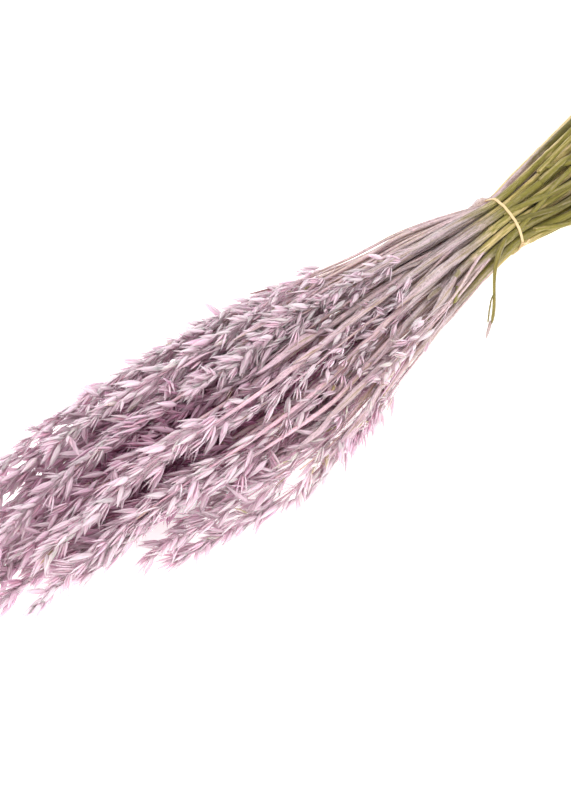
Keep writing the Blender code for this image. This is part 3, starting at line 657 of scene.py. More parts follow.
# Each finish's maker, then the width of its ribs and the height of its relief in mm, and its veins
FINISHES = {
    "dip_dyed_oat_straw": (straw_finish, 0.55, 0.16),
    "dry_oat_leaf": (straw_finish, 0.7, 0.12, 9),
    "papery_oat_glume": (glume_finish,),
    "natural_rubber": (rubber_finish,),
    "lit_white_acrylic": (floor_finish,),
}


def finish(name):
    """The material of that name, made the first time it is asked for."""
    if name not in bpy.data.materials:
        make, *sizes = FINISHES[name]
        make(name, bpy.context.scene.oats_colours, *sizes)
    return bpy.data.materials[name]


def geometry_tree(name, build, inputs):
    """The geometry node tree of that name, made the first time it is asked for.

    build adds the nodes of its own. Every tree then ends alike: real copies, smooth faces, the material.
    """
    if name in bpy.data.node_groups:
        return bpy.data.node_groups[name]
    tree = bpy.data.node_groups.new(name, "GeometryNodeTree")
    tree.is_modifier = True
    for label, kind in (("Geometry", "Geometry"), inputs, ("Material", "Material")):
        tree.interface.new_socket(label, in_out="INPUT", socket_type="NodeSocket" + kind)
    tree.interface.new_socket("Geometry", in_out="OUTPUT", socket_type="NodeSocketGeometry")
    start = tree.nodes.new("NodeGroupInput").outputs
    made = build(functools.partial(add_node, tree), start)
    for kind in ("GeometryNodeRealizeInstances", "GeometryNodeSetShadeSmooth"):
        made = add_node(tree, kind, {"Geometry": made})
    made = add_node(tree, "GeometryNodeSetMaterial", {"Geometry": made, "Material": start["Material"]})
    plug(tree, tree.nodes.new("NodeGroupOutput"), {"Geometry": made})
    return tree


def straw_nodes(node, start):
    """Sweep a round section along every path, as thick as the path says, and note the grain."""
    radius = node("named", "radius_m")
    rail = node("GeometryNodeMeshToCurve", {"Mesh": start["Geometry"]})
    rail = node("store", rail, "distance", node("GeometryNodeSplineParameter").node.outputs["Length"])
    circle = node("GeometryNodeCurvePrimitiveCircle", {"Resolution": start["Sides"], "Radius": 1.0})
    circle = node("store", circle, "round", node("GeometryNodeInputPosition"), **VECTOR)
    tube = node("GeometryNodeCurveToMesh", {
        "Curve": rail, "Profile Curve": circle, "Scale": radius, "Fill Caps": True})
    at = node("ShaderNodeSeparateXYZ", {0: node("named", "round", **VECTOR)}).node.outputs
    grain = node("ShaderNodeCombineXYZ", {
        0: node("named", "distance"), 1: node("times", at[0], radius), 2: node("times", at[1], radius)})
    return node("store", tube, "grain", grain, **VECTOR)


def copy_nodes(node, start):
    """Put one of the models in a collection on every point, aimed and sized as the point says."""
    models = node("GeometryNodeCollectionInfo", {
        "Collection": start["Models"], "Separate Children": True, "Reset Children": True})
    turn = node("FunctionNodeAxesToRotation", {
        "Primary Axis": node("named", "aim", **VECTOR), "Secondary Axis": node("named", "outward", **VECTOR)},
        primary_axis="X", secondary_axis="Z")
    return node("GeometryNodeInstanceOnPoints", {
        "Points": start["Geometry"], "Instance": models, "Pick Instance": True,
        "Instance Index": node("named", "kind", data_type="INT"), "Rotation": turn,
        "Scale": node("named", "size")})


def place(name, mesh):
    obj = bpy.data.objects.new(name, mesh)
    bpy.context.scene.collection.objects.link(obj)
    return obj


def settle(source, name, tree, values):
    """Run a node tree on an object and keep the result as a plain mesh object in the same frame."""
    modifier = source.modifiers.new("Nodes", "NODES")
    modifier.node_group = tree
    for item in tree.interface.items_tree:
        if item.in_out == "INPUT" and item.name in values:
            modifier[item.identifier] = values[item.name]
    bpy.context.view_layer.update()
    depsgraph = bpy.context.evaluated_depsgraph_get()
    mesh = bpy.data.meshes.new_from_object(source.evaluated_get(depsgraph), preserve_all_data_layers=True,
                                           depsgraph=depsgraph)
    source.modifiers.remove(modifier)
    bpy.data.objects.remove(source)
    if not mesh.polygons:
        raise RuntimeError(f"{name} has no faces")
    for vertex in mesh.vertices:
        vertex.co.z = max(vertex.co.z, 0.0)
    mesh.name = name
    return place(name, mesh)


def dress(obj, nodes):
    """The finished piece rides on the bunch and stands for its solid nodes, which are hidden."""
    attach(obj, "root")
    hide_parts(*nodes)


def write_values(mesh, values):
    """Give every point of a mesh its named values: whole numbers, vectors or plain numbers."""
    for name, data in values.items():
        kind, field, number = "FLOAT", "value", np.float32
        if name == "kind":
            kind, number = "INT", np.int32
        elif name in ("aim", "outward", "grain"):
            kind, field = "FLOAT_VECTOR", "vector"
        layer = mesh.attributes.new(name, kind, "POINT")
        layer.data.foreach_set(field, np.array(data, number).ravel())


def bare_object(points, edges, values):
    """Bare points and edges in the model's frame, with their values, for a node tree to work on."""
    mesh = bpy.data.meshes.new("bare")
    mesh.from_pydata([tuple(p + SHIFT) for p in points], edges, [])
    write_values(mesh, values)
    return place("bare", mesh)


def sweep(name, nodes, paths, sides, finish_name="dip_dyed_oat_straw"):
    """One piece of round straws. Each path is (points, radii, dye, tone), tone being one value for it."""
    points, edges, radii, dye, tones = [], [], [], [], []
    for path, thickness, dyes, tone in paths:
        edges += [(i, i + 1) for i in range(len(points), len(points) + len(path) - 1)]
        points += path
        radii += thickness
        dye += dyes
        tones += [tone] * len(path)
    lines = bare_object(points, edges, {"radius_m": radii, "dye": dye, "tone": tones,
                                        "deep": [depth_at(p) for p in points]})
    tree = geometry_tree("Straw along its path", straw_nodes, ("Sides", "Int"))
    dress(settle(lines, name, tree, {"Sides": sides, "Material": finish(finish_name)}), nodes)


def copies(name, nodes, models, points, values, finish_name="dip_dyed_oat_straw"):
    """One piece of copies of the models, each placed and turned as its point says."""
    tree = geometry_tree("Copies on their points", copy_nodes, ("Models", "Collection"))
    source = bare_object(points, [], values)
    dress(settle(source, name, tree, {"Models": models, "Material": finish(finish_name)}), nodes)


def strip_faces(rows, columns, inner):
    """Faces of a closed thin shell: outer grid, inner grid on the same two edges, root cap and tip."""
    step = columns + inner
    rim = [*range(columns), *range(step - 1, columns - 1, -1)]
    under = [0, *range(columns, step), columns - 1]
    faces = []
    for a in range(0, (rows - 1) * step, step):
        b = a + step
        faces += [(a + j, a + j + 1, b + j + 1, b + j) for j in range(columns - 1)]
        faces += [(a + j, a + i, b + i, b + j) for i, j in zip(under, under[1:])]
    last, tip = (rows - 1) * step, rows * step
    faces += [(last + i, last + j, tip) for i, j in zip(rim, rim[1:] + rim[:1])]
    return faces + [tuple(reversed(rim))]


def ring_faces(count, sides, closed=False):
    """Faces between rings of points, with flat ends unless the last ring joins the first."""
    faces = []
    for i in range(count if closed else count - 1):
        a, b = i * sides, (i + 1) % count * sides
        faces += [(a + k, a + (k + 1) % sides, b + (k + 1) % sides, b + k) for k in range(sides)]
    if not closed:
        faces += [tuple(reversed(range(sides))), tuple(range((count - 1) * sides, count * sides))]
    return faces


# How far the grain of a shell's inner face lies from that of its outer face
INNER_GRAIN = 0.004
THINNEST_ARC = 0.01


def strip_shell(spine, sides, outs, halves, arcs, thickness, columns=7, inner=3):
    """Points, faces and values of a blade, sheath or glume.

    spine holds the middle of the outer face row by row, and its last point is the tip. A row is an
    arc of half-width halves[i] that turns through arcs[i] either side of the middle.
    """
    rows = len(spine) - 1
    steps = [(v, 0.0) for v in np.linspace(-1, 1, columns)]
    steps += [(v, 1.0) for v in np.linspace(-1, 1, inner + 2)[1:-1]]
    points, grain, gone = [], [], 0.0
    for i in range(rows):
        arc = max(arcs[i], THINNEST_ARC)
        radius = halves[i] / arc
        for v, under in steps:
            reach = radius - thickness * under * (1 - v ** 4)
            points.append(spine[i] + sides[i] * reach * math.sin(v * arc)
                          + outs[i] * (reach * math.cos(v * arc) - radius))
            grain.append((gone, v * halves[i], under * INNER_GRAIN))
        gone += (spine[i + 1] - spine[i]).length
    values = {"grain": grain + [(gone, 0.0, 0.0)], "across": [v for v, _ in steps] * rows + [0.0],
              "along": [i / rows for i in range(rows) for _ in steps] + [1.0]}
    return points + [spine[rows]], strip_faces(rows, columns, inner), values


def shell_mesh(name, shells):
    """One mesh of many closed shells, each (points, faces, {name: values}), with its faces outward."""
    points, faces, lists = [], [], {}
    for shell_points, shell_faces, values in shells:
        faces += [tuple(len(points) + k for k in face) for face in shell_faces]
        points += [tuple(p) for p in shell_points]
        for key, data in values.items():
            lists.setdefault(key, []).extend(data)
    mesh = bpy.data.meshes.new(name)
    mesh.from_pydata(points, [], faces)
    write_values(mesh, lists)
    bm = bmesh.new()
    bm.from_mesh(mesh)
    bmesh.ops.recalc_face_normals(bm, faces=bm.faces)
    bm.to_mesh(mesh)
    bm.free()
    mesh.shade_smooth()
    return mesh


def shell_piece(name, shells, nodes, finish_name="dry_oat_leaf"):
    mesh = shell_mesh(name, shells)
    mesh.materials.append(finish(finish_name))
    dress(place(name, mesh), nodes)


def model_group(name, models):
    """A collection with one object for each model's shells, for the copies to be taken from."""
    group = bpy.data.collections.new(name)
    bpy.context.scene.collection.children.link(group)
    for number, shells in enumerate(models):
        mesh = shell_mesh(f"{name}_{number}", shells)
        group.objects.link(bpy.data.objects.new(mesh.name, mesh))
    return group


def drop_models(group):
    for obj in list(group.objects):
        bpy.data.objects.remove(obj)
    bpy.data.collections.remove(group)


# Share of the glume's length, share of its full half-width
GLUME_OUTLINE = ((0.0, 0.26), (0.13, 0.72), (0.33, 1.0), (0.58, 0.76), (0.82, 0.30), (1.0, 0.0))
GLUME_ARC = 1.12
GLUME_THICKNESS = 0.00014
GLUME_FOOT_RISE = 0.0006
GLUME_HOLLOW = 0.55
GLUME_OPENINGS = (2.0, 17.0)
# Share of the grain's length, share of its full radius
FLORET_OUTLINE = ((0.16, 0.7), (0.40, 1.0), (0.74, 0.6))
FLORET_FOOT = 0.0008
SPIKELET_KINDS = 6
# Ranges that the parts of a spikelet are drawn from; lengths and widths are shares of the full ones
LOWER_GLUME_LENGTHS = (0.80, 0.95)
GLUME_WIDTHS = (0.44, 0.56)
GLUME_CURLS = (-0.08, 0.06)
GLUME_ROLLS = (-16, 16)
GLUME_BENDS = (-0.06, 0.06)
GLUME_TONES = (-0.12, 0.12)
FLORET_LENGTHS = (0.62, 0.80)
FLORET_RADIUS = 0.20
FLORET_LEANS = (-0.05, 0.05)


def glume(length, half_width, opening, curl, roll, bend):
    """One glume: a folded, boat-shaped scale that leans out from the spikelet's own line (+X)."""
    turn = Matrix.Rotation(roll, 3, "X")
    spine, halves = [], []
    for share, width in GLUME_OUTLINE:
        x = length * share
        rise = GLUME_FOOT_RISE + math.tan(opening) * x + curl * x * share + half_width * GLUME_HOLLOW * width
        spine.append(turn @ Vector((x, bend * x * share, rise)))
        halves.append(half_width * max(width, 0.05))
    count = len(spine)
    return strip_shell(spine, [turn @ Vector((0, 1, 0))] * count, [turn @ Vector((0, 0, 1))] * count,
                       halves, [GLUME_ARC] * count, GLUME_THICKNESS, columns=5, inner=1)


def floret(length, radius, lean):
    """The slim grain between the glumes: a four-sided spindle."""
    points, faces, along = [Vector((FLORET_FOOT, 0, 0))], [], [0.0]
    for share, thick in FLORET_OUTLINE:
        for k in range(4):
            y, z = (radius * thick * turn(k * math.pi / 2) for turn in (math.cos, math.sin))
            points.append(Vector((length * share, y, z + lean * share * length)))
            along.append(share)
    points.append(Vector((length, 0, lean * length)))
    for k in range(4):
        after = (k + 1) % 4
        faces.append((0, 1 + after, 1 + k))
        faces += [(1 + 4 * r + k, 1 + 4 * r + after, 5 + 4 * r + after, 5 + 4 * r + k) for r in range(2)]
        faces.append((9 + k, 9 + after, 13))
    return points, faces, {"grain": points, "across": [0.0] * len(points), "along": along + [1.0]}


def spikelet_shells(heads, draw, open_share):
    """Two glumes and the grain between them."""
    shells = []
    for upper in (True, False):
        length = heads.length * (1.0 if upper else draw.uniform(*LOWER_GLUME_LENGTHS))
        opening = math.radians(mix(*GLUME_OPENINGS, open_share) + draw.uniform(-1, 1))
        curl = draw.uniform(*GLUME_CURLS)
        roll = math.radians(draw.uniform(*GLUME_ROLLS) + (0 if upper else 180))
        width = heads.width * draw.uniform(*GLUME_WIDTHS)
        shell = glume(length, width, opening, curl, roll, draw.uniform(*GLUME_BENDS))
        shells.append((shell, 0.0, draw.uniform(*GLUME_TONES)))
    length = heads.length * draw.uniform(*FLORET_LENGTHS)
    shells.append((floret(length, heads.width * FLORET_RADIUS, draw.uniform(*FLORET_LEANS)), 1.0, 0.0))
    for (points, _, values), inner, own in shells:
        values.update(inner=[inner] * len(points), own=[own] * len(points))
    return [shell for shell, _, _ in shells]


SHOOT_COUNT = 44
SHOOT_TIPS = (0.200, 0.350)
SHORT_SHOOT_TIPS = (0.175, 0.240)
SHOOT_HEADS = (0.085, 0.130)
SHOOT_LIFT = (0.002, 0.007)
SHOOT_LEAVING = 0.09
SHOOT_SHORT_OF_TIP = 0.010
SHOOT_END_RADIUS = 0.0005
SHOOT_LOWEST = 0.0015
SHOOT_DYE_START = -0.03
# The far upper edge, where thin straws stand a little clear of the culms
EDGE_COUNT = 16
EDGE_SIDE = Vector((0.80, 0.60))
EDGE_ANGLE = math.atan2(EDGE_SIDE.y, EDGE_SIDE.x)
EDGE_LIFT = 0.0118
EDGE_LAYERS = 4
EDGE_RISE = ((0.0, 0.0), (0.03, 0.45), (0.06, 0.78), (0.10, 1.0), (0.17, 1.0), (0.26, 0.0), (0.40, 0.0))
EDGE_TIPS = (0.27, 0.36)
EDGE_PARENTS = 8
EDGE_JUDGED_AT = 0.10
TOWARD_CAMERA = math.radians(118)
CULM_STEP = 0.0075


class SideShoot(Stem):
    """A thin late shoot that leaves its parent's sheath and bears a short head nearer the band."""

    def __init__(self, parent, number, on_edge, rise=0.0):
        draw = random.Random(SEED * 8000 + number)
        self.parent = parent
        self.number = len(STEMS) + number
        self.leaves_at = draw.uniform(0.002, 0.012) if on_edge else draw.uniform(0.005, 0.05)
        self.on_edge = on_edge
        self.thick = draw.uniform(0.0014, 0.0024) if on_edge else 0.0015
        self.tip = draw.uniform(*(EDGE_TIPS if on_edge else SHOOT_TIPS if number % 3 else SHORT_SHOOT_TIPS))
        self.head = draw.uniform(*SHOOT_HEADS)
        self.head_foot = self.tip - self.head
        if on_edge:
            self.side = EDGE_ANGLE + draw.gauss(0, 0.22)
            self.lift = rise
        else:
            self.side = parent.side_at(self.head_foot) + draw.gauss(0, 0.5)
            self.lift = draw.uniform(*SHOOT_LIFT) * (1 + max(0.0, math.cos(self.side - TOWARD_CAMERA)))
        self.drift = draw.gauss(0, 0.006)

    def route(self, u):
        left = smooth(EDGE_RISE, u) if self.on_edge else eased(limited((u - self.leaves_at) / SHOOT_LEAVING))
        out = from_axis(self.side)
        point = self.parent.route(u) + (out * self.lift + beside(out) * self.drift) * left
        point.z = max(point.z, SHOOT_LOWEST)
        return point

    def path(self):
        end = self.tip - SHOOT_SHORT_OF_TIP
        steps = int((end - self.leaves_at) / CULM_STEP)
        shares = [i / steps for i in range(steps + 1)]
        stations = [mix(self.leaves_at - 0.02, end, share) for share in shares]
        radii = [mix(self.thick, SHOOT_END_RADIUS, share) for share in shares]
        dyes = [dye_at(u, SHOOT_DYE_START) for u in stations]
        return [self.route(u) for u in stations], radii, dyes, 0.25 + 0.6 * (self.number * 0.37 % 1)


def side_shoots():
    """Shoots on the outer stems of the upper and near sides, where their heads show."""
    def far_up(stem):
        return EDGE_SIDE.dot(stem.route(EDGE_JUDGED_AT).yz)
    outer = sorted(STEMS, key=lambda s: -(math.hypot(s.y, s.z) * (1 + 0.5 * max(0.0, s.z - 0.4 * s.y)
                                                                  / math.hypot(s.y, s.z))))
    edge = sorted(STEMS, key=lambda s: -far_up(s))[:EDGE_PARENTS]
    shoots = [SideShoot(outer[k % len(outer)], k, False) for k in range(SHOOT_COUNT)]
    for k in range(EDGE_COUNT):
        parent = edge[k % EDGE_PARENTS]
        layer = (k * 3 + k // EDGE_PARENTS) % EDGE_LAYERS
        rise = far_up(edge[0]) - far_up(parent) + EDGE_LIFT * (layer + 0.7) / EDGE_LAYERS
        shoots.append(SideShoot(parent, SHOOT_COUNT + k, True, rise))
    return shoots


SHOOTS = side_shoots()


def round_about(direction, angle):
    """A direction square to a stem's heading, turned round it by an angle from sideways."""
    side = direction.cross(Vector((0, 0, 1))).normalized()
    return side * math.cos(angle) + side.cross(direction).normalized() * math.sin(angle)


GOLDEN_TURN = math.pi * (3 - math.sqrt(5))
WHORL_PITCH = 0.019
STRAY_SHARE = 0.045
LOOSE_SHARE = 0.16
LOOSE_REACH = 1.55
LEAN_SPREAD = 1.35
LEANS = (2, 34)
STRAY_LEANS = (32, 68)
GREEN_SHARE = 0.006
SPIKELET_SIZES = (0.66, 1.18, 1.0)
SPIKELET_TWIST = 25
TIP_SHRINK = 0.86
STALK_OVERLAP = 0.0008
BORNE_ON_HEAD = (0.02, 0.90)
# Angle round the bunch from +Y, distance from the band below which the straws there are bare
BARE_UNTIL = ((0, 0.180), (40, 0.158), (60, 0.120), (85, 0.112), (100, 0.115), (130, 0.104), (160, 0.135),
              (190, 0.180), (220, 0.190), (360, 0.185))
# The near edge, where spikelets took little dye
PALE_UNTIL = 0.300
PALE_SIDE = math.radians(200)
# Distance from the band, how far the heads are drawn in at the far upper edge, then at the near edge
EDGE_TUCK = ((0.13, 0.0), (0.18, 0.6), (0.27, 0.6), (0.36, 0.8), (0.50, 0.75), (0.56, 0.2))
NEAR_TUCK = ((0.28, 0.0), (0.36, 0.75), (0.50, 0.75), (0.56, 0.2))
LOWEST = 0.0012
# Thickness of a stalk at its five points, against its usual one
STALK_PROFILE = (1.25, 1.0, 0.9, 0.85, 1.1)
SPIKELET_VALUES = ("aim", "outward", "size", "kind", "tone", "deep")
# Direction of sight at the near edge of the heads, and what is down in that view
SIGHT = Vector((-0.453, -0.426, 0.783))
SIGHT_DOWN = Vector((-0.55, -0.56, -0.62))
# Open gaps there: where each begins and ends on the floor (distance from the band, y), half-width
CLEARINGS = (((0.176, -0.031), (0.193, -0.035), 0.0038), ((0.195, -0.040), (0.223, -0.044), 0.0036),
             ((0.246, -0.043), (0.276, -0.053), 0.0040))


def in_clearing(point):
    """Whether a point of the bunch stands in the line of sight of an open gap."""
    def in_view(vector):
        return vector - SIGHT * vector.dot(SIGHT)
    for start, end, half in CLEARINGS:
        first, last = (Vector((-u, y, 0)) for u, y in (start, end))
        run, off = in_view(last - first), in_view(point - first)
        if (off - run * limited(off.dot(run) / run.length_squared)).length < half:
            return True
    return False


def head_spikelets(stem, heads, fullness=1.0, scale=1.0, strays=STRAY_SHARE):
    """Spikelets of one head as (root, aim, outward, size, kind, tone, deep), and the path of each stalk."""
    draw = random.Random(SEED * 5000 + stem.number)
    head_tone = draw.random()
    spikelets, stalks = [], []
    turn = draw.uniform(0, 2 * math.pi)
    planned = int(heads.spikelets * fullness)
    for k in range(planned):
        share = (k + draw.random()) / planned
        u = stem.head_foot + stem.head * mix(*BORNE_ON_HEAD, share)
        turn += GOLDEN_TURN + draw.uniform(-0.4, 0.4)
        ahead = stem.heading(u)
        radial = round_about(ahead, turn)
        side = stem.side_at(u)
        if u < smooth(BARE_UNTIL, math.degrees(side) % 360):
            continue
        reach = heads.reach * mix(0.15, 1.0, draw.random() ** 0.7) * (1 - 0.80 * share ** 1.6)
        if draw.random() < LOOSE_SHARE:
            reach *= LOOSE_REACH
        toward_edge = math.cos(side - EDGE_ANGLE)
        tuck = smooth(EDGE_TUCK if toward_edge > 0 else NEAR_TUCK, u)
        tucked = 1 - max(0.0, EDGE_SIDE.dot(radial.yz) * toward_edge) * tuck
        reach *= tucked
        lean = math.radians(draw.uniform(*LEANS)) * (1 - 0.4 * share) * tucked
        if draw.random() < strays * (1 + 4 * depth_at(stem.route(u))):
            lean = math.radians(draw.uniform(*STRAY_LEANS))
        twist = math.radians(draw.gauss(0, SPIKELET_TWIST))
        root = stem.route(u) + radial * reach
        root.z = max(root.z, LOWEST * 2)
        away = turned(radial, ahead, draw.gauss(0, LEAN_SPREAD))
        aim = ahead * math.cos(lean) + away * math.sin(lean)
        aim = (aim + away.cross(ahead) * math.sin(twist)).normalized()
        against = draw.triangular(*SPIKELET_SIZES) * mix(1.0, TIP_SHRINK, share) * scale
        length = heads.length * against
        lowest = root.z + aim.z * length
        if lowest < LOWEST:
            aim.z += (LOWEST - lowest) / length
            aim.normalize()
        if any(in_clearing(root + aim * length * part) for part in (0.1, 0.5, 0.9)):
            continue
        outward = round_about(aim, draw.uniform(0, 2 * math.pi))
        tone = min(0.999, 0.30 * head_tone + 0.70 * draw.random())
        if draw.random() < GREEN_SHARE:
            tone = 0.0
        elif u < PALE_UNTIL and math.cos(side - PALE_SIDE) > 0.75:
            tone = 0.02 + 0.25 * tone
        kind = min(SPIKELET_KINDS - 1, int(abs(draw.gauss(0, 0.42)) * SPIKELET_KINDS))
        spikelets.append((root, aim, outward, against, kind, tone, depth_at(root)))
        whorl = math.floor((u - stem.head_foot - 0.006) / WHORL_PITCH) * WHORL_PITCH
        foot_u = stem.head_foot + whorl - draw.choice((0.0, WHORL_PITCH))
        foot = stem.route(max(stem.head_foot - 0.012, foot_u))
        bend = foot.lerp(root, 0.5) + radial * reach * 0.30 - (root - foot) * 0.06
        bent = bend.lerp(root, 0.6) + radial * reach * 0.04
        stalk = [foot, foot.lerp(bend, 0.55), bend, bent, root + aim * STALK_OVERLAP]
        for point in stalk:
            point.z = max(point.z, LOWEST * 0.6)
        stalks.append((stalk, [heads.stalk * width / 2 for width in STALK_PROFILE], [1.0] * 5, tone))
    return spikelets, stalks


# A thin head that hangs out of the near edge: (distance from the band, y, z), the share without spikelets
HANGING_HEAD = ((0.120, -0.0330, 0.0380), (0.165, -0.0530, 0.0420), (0.2046, -0.0663, 0.0450),
                (0.2300, -0.0735, 0.0530), (0.2535, -0.0770, 0.0620))
HANGING_BARE = 0.42
HANGING_COUNT = 24
HANGING_STEPS = 40
HANGING_RADII = (0.0011, 0.0004)
HANGING_SIZES = (0.74, 0.95)
HANGING_TONES = (0.26, 0.50)
# Depth given to the hanging head's spikelets, which sets their painted shade.
HANGING_DEEP = 0.3
HANGING_STALKS = (0.002, 0.010)


def in_frame(stops):
    """Points of the bunch from (distance from the band, y, z) stops."""
    return [Vector((-u, y, z)) for u, y, z, *_ in stops]


def hanging_head(heads):
    """Spikelets that droop from one loose head, and the paths of their stalks and of its stem."""
    draw = random.Random(SEED + 211)
    route = smooth_route(in_frame(HANGING_HEAD), HANGING_STEPS)
    spikelets, stalks = [], []
    for k in range(HANGING_COUNT):
        at = int(mix(HANGING_BARE, 1.0, (k + draw.random()) / HANGING_COUNT) * HANGING_STEPS)
        foot = route[at]
        ahead = (route[min(HANGING_STEPS, at + 1)] - route[at - 1]).normalized()
        aim = ahead * draw.uniform(0.1, 0.8) + SIGHT_DOWN * draw.uniform(0.5, 1.0)
        aim = (aim + Vector([draw.gauss(0, 0.15) for _ in range(3)])).normalized()
        root = foot + aim * draw.uniform(*HANGING_STALKS)
        outward = round_about(aim, draw.uniform(0, 2 * math.pi))
        spikelets.append((root, aim, outward, draw.uniform(*HANGING_SIZES), draw.randrange(3),
                          draw.uniform(*HANGING_TONES), HANGING_DEEP))
        stalks.append(([foot.lerp(root, j / 4) for j in range(5)], [heads.stalk / 2] * 5, [1.0] * 5, 0.5))
    radii = [mix(*HANGING_RADII, i / HANGING_STEPS) for i in range(HANGING_STEPS + 1)]
    return spikelets, stalks + [(route, radii, [1.2] * len(route), 0.6)]


HEAD_GROUPS = 6
SHOOT_FULLNESS = 0.55
SHOOT_SCALE = 0.82


class OATS_OT_heads(bpy.types.Operator):
    """Grow the papery spikelets of every head on their stalks"""
    bl_idname = "oats.heads"
    bl_label = "Heads"

    def execute(self, context):
        heads = context.scene.oats_heads
        draw = random.Random(SEED + 5)
        models = model_group("spikelet_model", [spikelet_shells(heads, draw, kind / (SPIKELET_KINDS - 1))
                                                for kind in range(SPIKELET_KINDS)])
        for part in range(HEAD_GROUPS):
            members = [stem for stem in STEMS if stem.number % HEAD_GROUPS == part]
            grown = [head_spikelets(stem, heads) for stem in members]
            grown += [head_spikelets(shoot, heads, SHOOT_FULLNESS, SHOOT_SCALE, 0.0)
                      for shoot in SHOOTS[part::HEAD_GROUPS]]
            if part == 0:
                grown.append(hanging_head(heads))
            nodes = [STEM_NODES[stem.number] for stem in members]
            roots, *values = zip(*(each for spikelets, _ in grown for each in spikelets))
            copies(f"spikelets_{part + 1}", nodes, models, roots, dict(zip(SPIKELET_VALUES, values)),
                   "papery_oat_glume")
            sweep(f"spikelet_stalks_{part + 1}", nodes, [path for _, stalks in grown for path in stalks], 3,
                  "papery_oat_glume")
        drop_models(models)
        return {"FINISHED"}


DYE_STARTS = (0.026, 0.056)
DYE_STARTS_TOP = (-0.090, 0.0)
DYE_TOP_SIDE = Vector((0.57, 0.82))
DYE_TOP_REACH = 0.016
DYE_FADE = 0.110
MAUVE_SPAN = (0.14, 0.30)
KNOT_SPACING = (0.085, 0.160)
KNOT_PROFILE = ((-0.0045, 0.0), (-0.002, 0.55), (0.0, 1.0), (0.002, 0.45), (0.0045, 0.0))
CULM_SHORT_OF_TIP = 0.012
MOUTH_LENGTH = 0.0035
# Straws laid over the others: three pairs of (distance from the band, angle round the bunch), radius, tone,
# and whether the straw comes out from under the band
CROSSING = (
    (((-0.012, 163), (-0.047, 184), (-0.145, 194)), 0.0020, 0.56, False),
    (((-0.052, 86), (-0.070, 105), (-0.120, 128)), 0.0021, 0.46, False),
    (((-0.044, 86), (-0.075, 80), (-0.148, 72)), 0.0022, 0.60, False),
    (((0.004, 128), (-0.040, 150), (-0.140, 165)), 0.0022, 0.12, True),
    (((0.004, 152), (-0.050, 118), (-0.145, 100)), 0.0020, 0.48, True),
    (((0.004, 104), (-0.045, 128), (-0.143, 140)), 0.0021, 0.30, True),
)
CROSSING_STEPS = 16
UNDER_BAND_DIP = 0.0050
UNDER_BAND_REACH = 0.028
# The cut end of a culm 1 m thick: rings of (distance out, radius) up to its flat rim
MOUTH_WALL = ((0.0, 1.0), (0.9, 1.0), (1.6, 1.0), (1.66, 0.97))
MOUTH_SIDES = 12
MOUTH_GRAIN = 0.003


def culm_draw(stem):
    return random.Random(SEED * 6000 + stem.number)


def dye_start(stem, draw=None):
    """Where the dye begins on a stem: sooner on the far upper side of the bunch."""
    top = max(0.0, Vector((stem.y, stem.z)).normalized().dot(DYE_TOP_SIDE)) ** 3.5
    top *= min(1.0, math.hypot(stem.y, stem.z) / DYE_TOP_REACH)
    low, high = (mix(DYE_STARTS[k], DYE_STARTS_TOP[k], top) for k in range(2))
    return mix(low, high, (draw or culm_draw(stem)).random())


def dye_at(u, begins):
    """Dye on a straw: 0 for none, 1 for the greyish lilac of the culms, 2 for the mauve of the heads."""
    dyed = (u - begins) / DYE_FADE
    mauve = limited((u - MAUVE_SPAN[0]) / (MAUVE_SPAN[1] - MAUVE_SPAN[0]))
    return 0.0 if dyed <= 0 else min(1.0, dyed) * 0.97 + 0.03 + 0.9 * mauve


def stem_tone(stem):
    return random.Random(SEED * 7000 + stem.number).random()


def culm_path(stem, knot):
    """One culm from its cut end to the end of its head's axis, with its knots."""
    draw = culm_draw(stem)
    begins = dye_start(stem, draw)
    knots = []
    u = stem.cut + draw.uniform(0.03, 0.09)
    while u < stem.head_foot - 0.03:
        knots.append(u)
        u += draw.uniform(*KNOT_SPACING)
    run = stem.tip - CULM_SHORT_OF_TIP - stem.cut
    steps = int(run / CULM_STEP)
    stations = {stem.cut + MOUTH_LENGTH + (run - MOUTH_LENGTH) * i / steps for i in range(steps + 1)}
    stations = sorted(stations | {at + off for at in knots for off, _ in KNOT_PROFILE})
    radii = []
    for u in stations:
        swell = max([smooth(KNOT_PROFILE, u - at) for at in knots if abs(u - at) < 0.0045], default=0.0)
        radii.append(stem.radius_at(u) * (1 + knot * swell))
        if u > stem.head_foot:
            radii[-1] *= mix(0.75, 0.35, (u - stem.head_foot) / stem.head)
    return [stem.route(u) for u in stations], radii, [dye_at(u, begins) for u in stations], stem_tone(stem)


def straw_mouth(hollow):
    """The cut end: outer wall, flat rim, and the bore going in to its floor."""
    bore = ((1.66, hollow + 0.04), (1.6, hollow), (1.0, hollow), (0.5, hollow * 0.96))
    points = []
    for x, radius in MOUTH_WALL + bore:
        for k in range(MOUTH_SIDES):
            angle = 2 * math.pi * k / MOUTH_SIDES
            points.append(Vector((x, radius * math.cos(angle), radius * math.sin(angle))))
    faces = ring_faces(len(MOUTH_WALL + bore), MOUTH_SIDES)
    return points, faces, {"grain": [p * MOUTH_GRAIN for p in points]}


def outermost(angle, u):
    """The stem that lies farthest out at that angle and distance from the band."""
    return max(STEMS, key=lambda s: (s.route(u) - middle(u)).dot(from_axis(angle)))


def crossing_path(stops, radius, tone, under_band):
    """One straw that lies on the outside of the bunch and turns round it as it runs to the cut ends."""
    path = []
    for i in range(CROSSING_STEPS + 1):
        u = mix(stops[0][0], stops[2][0], i / CROSSING_STEPS)
        angle = math.radians(smooth(stops[::-1], u))
        out = from_axis(angle)
        stem = outermost(angle, u)
        height = (stem.route(u) - middle(u)).dot(out) + stem.radius_at(u) + radius
        if under_band:
            height -= UNDER_BAND_DIP * max(0.0, 1 + (u - stops[0][0]) / UNDER_BAND_REACH)
        path.append(middle(u) + out * height)
    return path, [radius] * len(path), [0.0] * len(path), tone


